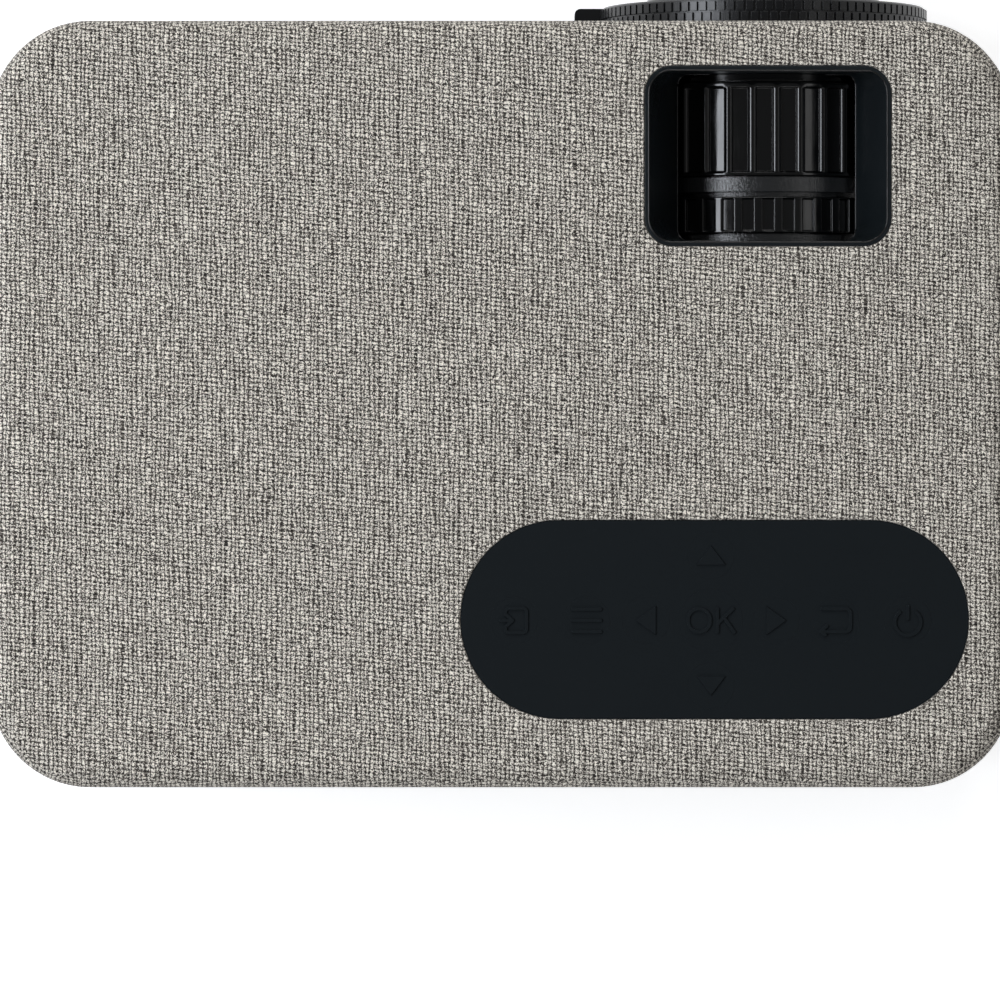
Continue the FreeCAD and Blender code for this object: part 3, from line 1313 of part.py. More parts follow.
def fan():
    """Exhaust fan against the side vent, its rotor on a short axle from a hub with four struts."""
    outer = f"({RIGHT} - {SKIN})"
    inner = f"({outer} - fan_thick)"
    axis = ("fan_y", "lens_z")
    square = slab("fan_square", "YZ_Plane", axis, ("fan_size", "fan_size"), "vent_radius - flange",
                  (inner, outer))
    bore = rod("fan_way", "X", axis, "fan_bore", through(inner, outer))
    hub_low = f"({outer} - fan_hub_thick)"
    plate = rod("fan_hub_plate", "X", axis, "fan_hub", (hub_low, outer))
    across = "2*fan_bore + fan_strut/2"
    struts = [block("fan_strut_y", (hub_low, outer), centred("fan_y", across),
                    centred("lens_z", "fan_strut")),
              block("fan_strut_z", (hub_low, outer), centred("fan_y", "fan_strut"),
                    centred("lens_z", across))]
    axle = rod("fan_axle_pin", "X", axis, "fan_axle", (f"{inner} + fan_axle_inset", hub_low))
    node("fan_frame", fuse("fan_frame", cut("fan_duct", square, bore), plate, axle, *struts))
    low = f"({inner} + fan_end_gap)"
    high = f"({hub_low} - fan_end_gap)"
    free = "(fan_axle + running_gap)"
    rotor = turned("fan_turned", "X", [(free, low), ("fan_hub", low), ("fan_hub", high), (free, high)], axis)
    root = "(fan_hub - 2*fan_blade)"
    sketch = sketch_on(rotor, "blade_section", "XY_Plane", root)
    sweep = "fan_blade_sweep"
    draw_polygon(sketch, [(low, f"-{sweep} - fan_blade"), (high, f"{sweep} - fan_blade"),
                          (high, f"{sweep} + fan_blade"), (low, f"-{sweep} + fan_blade")])
    blade = rotor.newObject("PartDesign::Pad", "blade")
    blade.Profile = sketch
    bind(blade, "Length", f"fan_tip - fan_tip_gap - {root}")
    repeat_round(rotor, blade, "X", "fan_blades", "blades")
    node("fan_rotor", group("fan_rotor", rotor))


# ---------------------------------------------------------------- disc drive

def drive_case():
    metal = "sheet_metal"
    left = f"({LEFT} + {SKIN} + flange_thick + rail_gap)"
    outside = block("drive_outside", (left, "drive_right"), ("-drive_half", "drive_half"),
                    ("drive_z", f"drive_top - {metal}"))
    inside = block("drive_inside", (f"{left} - {PAST}", f"drive_right - {metal}"),
                   (f"-drive_half + {metal}", f"drive_half - {metal}"),
                   (f"drive_z + {metal}", f"drive_top + {PAST}"))
    node("drive_chassis", cut("drive_chassis", outside, inside))
    lid = block("lid_plate", (left, "drive_right"), ("-drive_half", "drive_half"),
                (f"drive_top - {metal}", "drive_top"))
    posts = []
    for i, x in enumerate(("main_board_left + standoff_inset", "main_board_right - standoff_inset")):
        for j, y in enumerate(("-drive_half + standoff_inset", "main_board_front - standoff_inset")):
            posts.append(rod(f"board_post_{i}{j}", "Z", (x, y), "standoff_radius",
                             (f"drive_top - {metal}/2", "main_board_z")))
    node("drive_lid", fuse("drive_lid", lid, *posts))
    near = "tray_half + rail_gap"
    far = f"{near} + rail_wide"
    rails = [block(f"rail_{i}", (f"{left} + rail_gap", f"{left} + rail_gap + rail_length"), y,
                   ("rail_low", "rail_low + rail_height"))
             for i, y in enumerate(((f"-({far})", f"-({near})"), (near, far)))]
    node("slide_rails", group("slide_rails", *rails))


def tray():
    """Tray with its disc recess, a window for the spindle and the sled, and seats for their rods."""
    front = f"({LEFT} + {SKIN})"
    middle = ("disc_x", "0")
    window_y = ("-sled_window", "sled_window")
    right_through = through("tray_low", "tray_high")
    deck = block("tray_deck", (front, "tray_back"), ("-tray_half", "tray_half"), ("tray_low", "tray_high"))
    recess = rod("disc_recess", "Z", middle, "disc_radius", ("disc_floor", f"tray_high + {PAST}"))
    hub_way = rod("hub_way", "Z", middle, "hub_space", right_through)
    sled_way = block("sled_way", ("disc_x", "tray_back - tray_web"), window_y, right_through)
    hollow = block("tray_underside", (f"{front} + tray_rib", "disc_x - hub_space - tray_rib"),
                   ("-tray_half + tray_rib", "tray_half - tray_rib"),
                   (f"tray_low - {PAST}", "disc_floor - tray_skin"))
    plain = cut("tray_plain", deck, recess, hub_way, sled_way, hollow)
    bar = block("tray_rod_bar", ("rod_bar_left", "rod_bar_right"), window_y,
                ("motor_low", "disc_floor - rail_gap"))
    web = block("tray_rod_web", ("tray_back - tray_web", "tray_back"), window_y, ("motor_low", "tray_low"))
    past_back = f"tray_back + {PAST}"
    seats = [rod(f"rod_seat_{i}", "X", (f"{side}*guide_y", "guide_z"), "guide_radius",
                 ("rod_bar_left", past_back))
             for i, side in enumerate((-1, 1))]
    seats.append(rod("screw_seat", "X", ("0", "screw_z"), "lead_radius + running_gap",
                     ("rod_bar_right", past_back)))
    seats.append(rod("sled_motor_seat", "X", ("0", "screw_z"), "sled_motor_radius",
                     (f"rod_bar_left - {PAST}", "rod_bar_right")))
    node("disc_tray", cut("disc_tray", fuse("tray_with_bars", plain, bar, web), *seats))


def bezel_and_button():
    """The tray's front strip, with the eject button in its pocket and a release hole beside it."""
    front = f"({LEFT} + {SKIN})"
    height = ("bezel_low", "bezel_high")
    whole = shell_block("bezel_outside", "0", height)
    strip = block("bezel_box", (f"{LEFT} - {PAST}", front), ("-bezel_half", "bezel_half"), height)
    way_y = centred("eject_y", "eject_width + 2*eject_gap")
    way_z = centred("eject_z", "eject_height + 2*eject_gap")
    way = block("eject_way", through(LEFT, front), way_y, way_z)
    pinhole = rod("release_way", "X", ("eject_y + eject_width", "eject_z"), "release_hole",
                  through(LEFT, front))
    stop = block("eject_stop", (f"{front} - eject_gap", front), way_y, way_z)
    bezel = cut("bezel_blank", common("bezel_strip", whole, strip), way, pinhole)
    node("tray_bezel", fuse("tray_bezel", bezel, stop))
    button = block("eject_cap", (LEFT, f"{LEFT} + eject_depth"), centred("eject_y", "eject_width"),
                   centred("eject_z", "eject_height"))
    node("eject_button", group("eject_button", button))


def drive_mechanism():
    """Spindle, laser sled, its two guide rods and its lead screw, all carried by the tray."""
    middle = ("disc_x", "0")
    can = rod("motor_can", "Z", middle, "spindle_radius", ("motor_low", "motor_top - spindle_gap"))
    axle = rod("motor_axle", "Z", middle, "spindle_axle", ("motor_low", "hub_top - axle_drop"))
    arm = block("motor_bracket", ("disc_x - hub_space - tray_rib", "disc_x"), centred("0", "motor_arm"),
                ("motor_low", "tray_low"))
    spindle = fuse("spindle_can", can, axle, arm)
    sled_can = rod("sled_motor_can", "X", ("0", "screw_z"), "sled_motor_radius",
                   ("disc_x + spindle_radius", "rod_bar_right"))
    clear = rod("can_clear", "Z", middle, "spindle_radius", through("motor_low", "motor_top"))
    node("drive_motors", group("drive_motors", spindle, cut("sled_motor", sled_can, clear)))
    free = "(spindle_axle + running_gap)"
    corners = [(free, "motor_top"), ("spindle_radius", "motor_top"), ("spindle_radius", "hub_rim_top"),
               ("hub_radius", "hub_rim_top"), ("hub_radius", "hub_top"), (free, "hub_top")]
    node("spindle_hub", group("spindle_hub", turned("hub_turned", "Z", corners, middle)))
    start = "(disc_x + sled_start)"
    length = centred(start, "2*sled_half")
    body = block("sled_body", length, centred("0", "2*sled_width"), ("sled_low", "sled_top"))
    lines = (("guide_y", "guide_z", "guide_radius"), ("-guide_y", "guide_z", "guide_radius"),
             ("0", "screw_z", "lead_radius"))
    ways = [rod(f"sled_bore_{i}", "X", (y, z), f"{radius} + running_gap", through(*length))
            for i, (y, z, radius) in enumerate(lines)]
    eye = rod("laser_lens", "Z", (start, "0"), "sled_lens",
              ("sled_top - sled_lens_root", "sled_top + sled_lens_rise"))
    node("pickup_sled", fuse("pickup_sled", cut("sled_bored", body, *ways), eye))
    bars = [rod(f"guide_{i}", "X", (f"{side}*guide_y", "guide_z"), "guide_radius",
                ("rod_bar_left", "tray_back"))
            for i, side in enumerate((-1, 1))]
    node("guide_rods", group("guide_rods", *bars))
    screw = rod("lead_rod", "X", ("0", "screw_z"), "lead_radius",
                ("rod_bar_right + running_gap", "tray_back"))
    node("lead_screw", group("lead_screw", screw))


# ---------------------------------------------------------------- boards, sockets and speakers

# Layout of the larger parts on each board, from the board's left rear corner.
CHIPS = (("46", "39", "chip_size"), ("86", "37", "0.7*chip_size"), ("48", "73", "0.8*chip_size"))
SMALL_CANS = ("84", "61")
COIL = ("50", "37")
POWER_CANS = (("22", "27"), ("22", "43"))
POWER_POSTS = (("5", "22"), ("65", "22"), ("5", "50"), ("65", "50"))


def main_board():
    board = block("main_plate", ("main_board_left", "main_board_right"),
                  ("main_board_rear", "main_board_front"),
                  ("main_board_z", "deck"))
    parts = [block(f"chip_{i}", centred(f"main_board_left + {x}", size),
                   centred(f"main_board_rear + {y}", size),
                   ("deck", "deck + chip_height")) for i, (x, y, size) in enumerate(CHIPS)]
    for i in range(4):
        place = (f"main_board_left + {SMALL_CANS[0]}",
                 f"main_board_rear + {SMALL_CANS[1]} + {i}*small_can_pitch")
        parts.append(rod(f"small_can_{i}", "Z", place, "small_can_radius",
                         ("deck", "deck + small_can_height")))
    node("main_board", fuse("main_board", board, *parts))


def tongue_socket(name, x, width, height):
    """A metal-shelled socket with a plain tongue, its mouth in the rear panel."""
    wall = "socket_wall"
    front = f"({REAR} + socket_depth)"
    shell = block(f"{name}_shell", centred(x, width), (REAR, front), ("deck", f"deck + {height}"))
    mouth = block(f"{name}_mouth", centred(x, f"{width} - 2*{wall}"),
                  (f"{REAR} - {PAST}", f"{front} - socket_back"),
                  (f"deck + {wall}", f"deck + {height} - {wall}"))
    tongue = block(f"{name}_tongue", centred(x, f"{width} - 4*{wall}"),
                   (f"{REAR} + tongue_recess", f"{front} - socket_back/2"),
                   centred(f"deck + {height}/2", "tongue_thick"))
    return fuse(name, cut(f"{name}_case", shell, mouth), tongue)


def signal_sockets():
    front = f"({REAR} + socket_depth)"
    sockets = [tongue_socket("hdmi_socket", "hdmi_x", "hdmi_width", "hdmi_height")]
    for i in range(2):
        sockets.append(tongue_socket(f"usb_socket_{i}", f"usb_first + {i}*usb_pitch", "usb_width",
                                     "usb_height"))
    for i in range(2):
        x = f"jack_first + {i}*jack_pitch"
        case = block(f"jack_case_{i}", centred(x, "jack_size"), (REAR, front), ("deck", "deck + jack_size"))
        bore = rod(f"jack_bore_{i}", "Y", (x, "deck + jack_size/2"), "jack_bore",
                   (f"{REAR} - {PAST}", f"{front} - socket_back"))
        sockets.append(cut(f"jack_{i}", case, bore))
    node("signal_sockets", group("signal_sockets", *sockets))


def power_board():
    left, rear = "power_board_left", "main_board_rear"
    board = block("power_plate", (left, "power_board_right"), (rear, "power_board_front"),
                  ("power_board_z", "power_deck"))
    posts = [rod(f"power_post_{i}", "Z", (f"{left} + {x}", f"{rear} + {y}"), "standoff_radius",
                 ("deck", "power_board_z")) for i, (x, y) in enumerate(POWER_POSTS)]
    coil = block("coil", centred(f"{left} + {COIL[0]}", "coil_size"),
                 centred(f"{rear} + {COIL[1]}", "coil_size"),
                 ("power_deck", "power_deck + coil_height"))
    cans = [rod(f"power_can_{i}", "Z", (f"{left} + {x}", f"{rear} + {y}"), "capacitor_radius",
                ("power_deck", "power_deck + capacitor_height")) for i, (x, y) in enumerate(POWER_CANS)]
    node("power_board", fuse("power_board", board, coil, *cans, *posts))


def power_inlet():
    inner = f"({REAR} + inlet_depth)"
    middle = "(power_deck + inlet_height/2)"
    case = block("inlet_case", centred("inlet_x", "inlet_width"), (REAR, inner),
                 ("power_deck", "power_deck + inlet_height"))
    mouth = slab("inlet_mouth_tool", "XZ_Plane", ("inlet_x", middle), ("inlet_cavity", "inlet_mouth"), None,
                 (f"{REAR} - {PAST}", f"{inner} - inlet_wall"))
    pins = [rod(f"inlet_pin_{i}", "Y", (f"inlet_x + {side}*inlet_pins/2", middle), "inlet_pin",
                (f"{REAR} + inlet_pin_recess", f"{inner} - inlet_wall/2")) for i, side in enumerate((-1, 1))]
    node("power_inlet", fuse("power_inlet", cut("inlet_shell", case, mouth), *pins))


def speakers():
    inside = f"({FRONT} - {SKIN})"
    rim = f"({inside} - speaker_flange)"
    cone = f"({rim} - speaker_cone)"
    magnet = f"({cone} - speaker_magnet)"
    corners = [("0", magnet), ("speaker_magnet_radius", magnet), ("speaker_magnet_radius", cone),
               ("speaker_radius - speaker_step", rim), ("speaker_radius", rim), ("speaker_radius", inside),
               ("speaker_radius - speaker_lip", inside), ("speaker_dust_cap", rim), ("0", rim)]
    pair = [turned(f"speaker_{i}", "Y", corners, (x, "speaker_z"))
            for i, x in enumerate(("speaker_left", "speaker_right"))]
    node("speakers", group("speakers", *pair))


def check_model():
    """Stop if any object failed or any sub-part has no valid solid."""
    failed = [item.Name for item in doc.Objects if {"Invalid", "Error"} & set(item.State)]
    if failed:
        raise RuntimeError(f"objects that did not recompute: {failed}")
    for item in nodes:
        if item.Shape.isNull() or not item.Shape.isValid() or not item.Shape.Solids:
            raise RuntimeError(f"{item.Label} has no valid solid")


def main():
    fill_sheet()
    openings = cover_openings()
    screw_head_top = "(foot_height + screw_sink + screw_head_thick)"
    cover(openings)
    covering(openings)
    bottom(screw_head_top)
    feet_and_fasteners(screw_head_top)
    tilting_foot()
    front_fascia()
    rear_connector_panel()
    side_grille()
    drive_surround()
    wheel_window()
    keypad()
    trim_ring()
    mount_and_wheels()
    barrel_and_glass()
    engine_box()
    optics()
    lcd()
    lamp()
    fan()
    drive_case()
    tray()
    bezel_and_button()
    drive_mechanism()
    main_board()
    signal_sockets()
    power_board()
    power_inlet()
    speakers()
    doc.recompute()
    check_model()
    os.makedirs("parts", exist_ok=True)
    for item in nodes:
        item.Shape.exportStep(f"parts/{item.Label}.step")
        print(item.Label, len(item.Shape.Solids), round(item.Shape.Volume, 1))


main()
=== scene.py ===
"""Looks of a small table projector with a disc drive: a cloth-wrapped case with a control window over the
lens wheels and a keypad let into the lid. Lengths are in metres unless a name ends in _mm."""

import logging
import math
from dataclasses import dataclass
from enum import Enum

import bpy
from bpy.types import Material, Mesh, Node, NodeSocket, NodeTree, Object
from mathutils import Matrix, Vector


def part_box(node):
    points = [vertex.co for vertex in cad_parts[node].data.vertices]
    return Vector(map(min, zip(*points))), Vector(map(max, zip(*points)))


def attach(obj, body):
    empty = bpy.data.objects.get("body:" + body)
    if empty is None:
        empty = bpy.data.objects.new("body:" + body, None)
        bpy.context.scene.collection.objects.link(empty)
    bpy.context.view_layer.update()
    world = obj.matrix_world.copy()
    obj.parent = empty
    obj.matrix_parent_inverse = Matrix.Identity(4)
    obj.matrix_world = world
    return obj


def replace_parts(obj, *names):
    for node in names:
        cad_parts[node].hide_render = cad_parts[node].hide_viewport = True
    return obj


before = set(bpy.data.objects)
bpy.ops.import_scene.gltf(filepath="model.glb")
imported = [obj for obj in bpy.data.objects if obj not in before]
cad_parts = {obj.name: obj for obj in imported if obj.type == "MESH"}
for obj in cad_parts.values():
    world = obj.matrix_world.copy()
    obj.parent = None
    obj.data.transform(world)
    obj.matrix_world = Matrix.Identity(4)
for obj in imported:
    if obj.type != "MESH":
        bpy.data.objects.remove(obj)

log = logging.getLogger("projector")
MM = 0.001
CASE_LOW, CASE_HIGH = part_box("fabric_wrap")
CASE_CENTRE = (CASE_LOW + CASE_HIGH) / 2

# Most of a noise texture lies between these two values.
DIM, BRIGHT = 0.3, 0.7
# The inputs of a Mix node, for numbers and for colours, and its output for colours.
SHARE, NUMBER_A, NUMBER_B, COLOUR_A, COLOUR_B, MIXED = 0, 2, 3, 6, 7, 2
# How many rays soften an edge.
EDGE_RAYS = 4

Pair = tuple[float, float]


def linear(colour: str) -> tuple[float, float, float, float]:
    """Turns an sRGB hex colour into the linear one that the shaders use.

    Args:
        colour: Six hex digits, with or without a leading #.

    Returns:
        Red, green, blue and an alpha of 1.
    """
    digits = colour.lstrip("#")
    parts = [int(digits[i : i + 2], 16) / 255 for i in (0, 2, 4)]
    red, green, blue = (c / 12.92 if c <= 0.04045 else ((c + 0.055) / 1.055) ** 2.4 for c in parts)
    return red, green, blue, 1.0


def feed(node: Node, inputs: dict | list) -> None:
    """Sets a node's inputs.

    Args:
        node: The node.
        inputs: What each input gets, by name or number or in order: a value, the output that feeds it, or the node
            whose first output does.
    """
    for key, value in inputs.items() if isinstance(inputs, dict) else enumerate(inputs):
        source = value.outputs[0] if isinstance(value, Node) else value
        if isinstance(source, NodeSocket):
            node.id_data.links.new(source, node.inputs[key])
        else:
            node.inputs[key].default_value = source


def add_node(tree: NodeTree, kind: str, inputs: dict | list, **settings: object) -> Node:
    """Adds one shader node with its settings and links.

    Args:
        tree: The node tree that takes it.
        kind: The node's type, without the leading ShaderNode.
        inputs: What each input gets, as feed takes it.
        settings: The node's own settings.

    Returns:
        The new node.
    """
    node = tree.nodes.new(f"ShaderNode{kind}")
    for name, value in settings.items():
        setattr(node, name, value)
    feed(node, inputs)
    return node


def surface(name: str) -> tuple[Material, NodeTree, Node, NodeSocket]:
    """Starts a material with a shader and the object's own coordinates.

    Args:
        name: The material's name.

    Returns:
        The material, its node tree, its shader and the coordinates in metres.
    """
    material = bpy.data.materials.new(name)
    material.use_nodes = True
    tree = material.node_tree
    return material, tree, tree.nodes["Principled BSDF"], add_node(tree, "TexCoord", []).outputs["Object"]


@dataclass(frozen=True)
class Finish:
    """What every finish has: a name, a colour and a roughness."""

    name: str
    colour: str
    roughness: float

    def build(self) -> Material:
        """Makes the material."""
        raise NotImplementedError


@dataclass(frozen=True)
class MouldedPlastic(Finish):
    """ABS or another moulded plastic, with the fine grain that spark erosion leaves in the mould."""

    # A spark-eroded mould gives the eye fine even glints instead of a mirror, and a little paler where edges rub;
    # the glints are painted into the colour as paler and darker grain flecks.
    # The grain is drawn two or three times as coarse as it is, so that it shows.
    rubbed: str
    grain_mm: float = 0.35
    grain_depth_mm: float = 0.02
    cloud_mm: float = 18.0
    edge_mm: float = 0.25
    edge_cosines: Pair = (0.999, 0.8)
    edge_wear: float = 0.6
    uneven: Pair = (0.04, 0.05)
    specular: float = 0.5
    painted_sparkle: float = 0.12

    def build(self) -> Material:
        """Makes the material.

        Returns:
            The moulded plastic.
        """
        material, tree, shader, place = surface(self.name)
        grain = add_node(tree, "TexNoise", {
            "Vector": place, "Scale": 1 / (self.grain_mm * MM), "Detail": 3.0, "Roughness": 0.6})
        cloud = add_node(tree, "TexNoise", {"Vector": place, "Scale": 1 / (self.cloud_mm * MM), "Detail": 2.0})
        soft = add_node(tree, "Bevel", {"Radius": self.edge_mm * MM}, samples=EDGE_RAYS)
        flat = add_node(tree, "NewGeometry", [])
        facing = add_node(tree, "VectorMath", [soft, flat.outputs["Normal"]], operation="DOT_PRODUCT")
        edge = add_node(tree, "MapRange", [facing.outputs["Value"], *self.edge_cosines, 0.0, self.edge_wear])
        patchy = add_node(tree, "Math", [edge, cloud], operation="MULTIPLY")
        colour = add_node(tree, "Mix", {
            SHARE: patchy, COLOUR_A: linear(self.colour), COLOUR_B: linear(self.rubbed)}, data_type="RGBA")
        # Painted glints: the grain laid over the colour as paler and darker flecks.
        painted_sparkle_colour = add_node(tree, "Mix", {
            SHARE: self.painted_sparkle, COLOUR_A: colour.outputs[MIXED], COLOUR_B: grain}, data_type="RGBA",
            blend_type="OVERLAY")
        rough = add_node(tree, "MapRange", [
            cloud, DIM, BRIGHT, self.roughness - self.uneven[0], self.roughness + self.uneven[1]])
        bump = add_node(tree, "Bump", {
            "Height": grain, "Distance": self.grain_depth_mm * MM, "Strength": 1.0, "Normal": soft})
        feed(shader, {
            "Base Color": painted_sparkle_colour.outputs[MIXED], "Roughness": rough, "Normal": bump,
            "Specular IOR Level": self.specular})
        return material


@dataclass(frozen=True)
class PolishedPlastic(Finish):
    """Polycarbonate moulded against a polished tool: deep black gloss with faint handling marks."""

    # A polished mould gives hard reflections; fingers leave slightly duller patches and hairline scratches.
    mark_mm: float = 6.0
    marked: Pair = (0.15, 0.4)
    dulled: float = 0.09
    hair_mm: float = 0.3
    hair_depth_mm: float = 0.002
    hair_stretch: tuple[float, float, float] = (1.0, 0.06, 1.0)
    edge_mm: float = 0.2

    def build(self) -> Material:
        """Makes the material.

        Returns:
            The polished plastic.
        """
        material, tree, shader, place = surface(self.name)
        marks = add_node(tree, "TexNoise", {"Vector": place, "Scale": 1 / (self.mark_mm * MM), "Detail": 4.0})
        drawn = add_node(tree, "Mapping", {"Vector": place, "Scale": self.hair_stretch})
        hair = add_node(tree, "TexNoise", {"Vector": drawn, "Scale": 1 / (self.hair_mm * MM), "Detail": 2.0})
        mixed = add_node(tree, "Math", [marks, hair], operation="MULTIPLY")
        rough = add_node(tree, "MapRange", [mixed, *self.marked, self.roughness, self.roughness + self.dulled])
        soft = add_node(tree, "Bevel", {"Radius": self.edge_mm * MM}, samples=EDGE_RAYS)
        bump = add_node(tree, "Bump", {
            "Height": hair, "Distance": self.hair_depth_mm * MM, "Strength": 1.0, "Normal": soft})
        feed(shader, {"Base Color": linear(self.colour), "Roughness": rough, "Normal": bump})
        return material


@dataclass(frozen=True)
class Glass(Finish):
    """Optical glass or clear acrylic, with the faint tint of its coating."""

    # A magnesium fluoride coating cancels most of the reflection and leaves a violet or green tinge.
    tint: str = "#ffffff"
    ior: float = 1.5
    see_through: float = 1.0
    glare: float = 0.5
    dust: float = 0.02
    dust_mm: float = 0.8
    dusty: Pair = (0.45, 0.75)
    rim: float = 0.35

    def build(self) -> Material:
        """Makes the material.

        Returns:
            The glass.
        """
        material, tree, shader, place = surface(self.name)
        dust = add_node(tree, "TexNoise", {"Vector": place, "Scale": 1 / (self.dust_mm * MM), "Detail": 5.0})
        rough = add_node(tree, "MapRange", [dust, *self.dusty, self.roughness, self.roughness + self.dust])
        rim = add_node(tree, "LayerWeight", {"Blend": self.rim})
        shade = add_node(tree, "Mix", {
            SHARE: rim.outputs["Facing"], COLOUR_A: linear(self.colour), COLOUR_B: linear(self.tint)},
            data_type="RGBA")
        feed(shader, {
            "Base Color": shade.outputs[MIXED], "Roughness": rough, "IOR": self.ior,
            "Specular IOR Level": self.glare, "Transmission Weight": self.see_through})
        return material


class Lay(Enum):
    """How a metal surface was made: how its grain is scaled along x, y and z, and its spacing in millimetres."""

    ROLLED = ((1.0, 0.03, 1.0), 0.25)
    TURNED = ((0.3, 1.0, 0.3), 0.3)
    CAST = ((1.0, 1.0, 1.0), 0.6)
    PLATED = ((1.0, 1.0, 1.0), 3.0)


@dataclass(frozen=True)
class Metal(Finish):
    """Sheet, turned or cast metal with the lines or grain that its making leaves."""

    # Rolled sheet shows faint straight lines, turned stock shows rings, a casting is grainy and plating is even.
    lay: Lay = Lay.ROLLED
    dull: str = "#55565a"
    stain_mm: float = 9.0
    stained: Pair = (0.45, 0.75)
    stain: float = 0.5
    uneven: Pair = (0.06, 0.1)
    line_depth_mm: float = 0.01
    edge_mm: float = 0.15

    def build(self) -> Material:
        """Makes the material.

        Returns:
            The metal.
        """
        material, tree, shader, place = surface(self.name)
        stretch, spacing_mm = self.lay.value
        drawn = add_node(tree, "Mapping", {"Vector": place, "Scale": stretch})
        lines = add_node(tree, "TexNoise", {"Vector": drawn, "Scale": 1 / (spacing_mm * MM), "Detail": 4.0})
        cloud = add_node(tree, "TexNoise", {"Vector": place, "Scale": 1 / (self.stain_mm * MM), "Detail": 3.0})
        stain = add_node(tree, "MapRange", [cloud, *self.stained, 0.0, self.stain])
        colour = add_node(tree, "Mix", {
            SHARE: stain, COLOUR_A: linear(self.colour), COLOUR_B: linear(self.dull)}, data_type="RGBA")
        rough = add_node(tree, "MapRange", [
            lines, DIM, BRIGHT, self.roughness - self.uneven[0], self.roughness + self.uneven[1]])
        soft = add_node(tree, "Bevel", {"Radius": self.edge_mm * MM}, samples=EDGE_RAYS)
        bump = add_node(tree, "Bump", {
            "Height": lines, "Distance": self.line_depth_mm * MM, "Strength": 1.0, "Normal": soft})
        feed(shader, {"Base Color": colour.outputs[MIXED], "Roughness": rough, "Normal": bump, "Metallic": 1.0})
        return material


@dataclass(frozen=True)
class CircuitBoard(Finish):
    """Glass-fibre board under green solder mask, with copper tracks showing through."""

    # The mask is glossy and slightly clear, so tracks show as paler green lines with a low step.
    track: str = "#3f7d4c"
    track_mm: float = 2.4
    track_share: float = 0.08
    track_step_mm: float = 0.03
    patch_mm: float = 7.0
    patch_from: float = 0.52

    def build(self) -> Material:
        """Makes the material.

        Returns:
            The board.
        """
        material, tree, shader, place = surface(self.name)
        bare, tracked = linear("#000000"), linear("#ffffff")
        cells = add_node(tree, "TexBrick", {
            "Vector": place, "Scale": 1 / (self.track_mm * MM), "Mortar Size": self.track_share, "Color1": bare,
            "Color2": bare, "Mortar": tracked})
        patch = add_node(tree, "TexNoise", {"Vector": place, "Scale": 1 / (self.patch_mm * MM), "Detail": 1.0})
        gate = add_node(tree, "Math", [patch, self.patch_from], operation="GREATER_THAN")
        line = add_node(tree, "Math", [cells.outputs["Color"], gate], operation="MULTIPLY")
        colour = add_node(tree, "Mix", {
            SHARE: line, COLOUR_A: linear(self.colour), COLOUR_B: linear(self.track)}, data_type="RGBA")
        bump = add_node(tree, "Bump", {"Height": line, "Distance": self.track_step_mm * MM, "Strength": 1.0})
        feed(shader, {"Base Color": colour.outputs[MIXED], "Roughness": self.roughness, "Normal": bump})
        return material


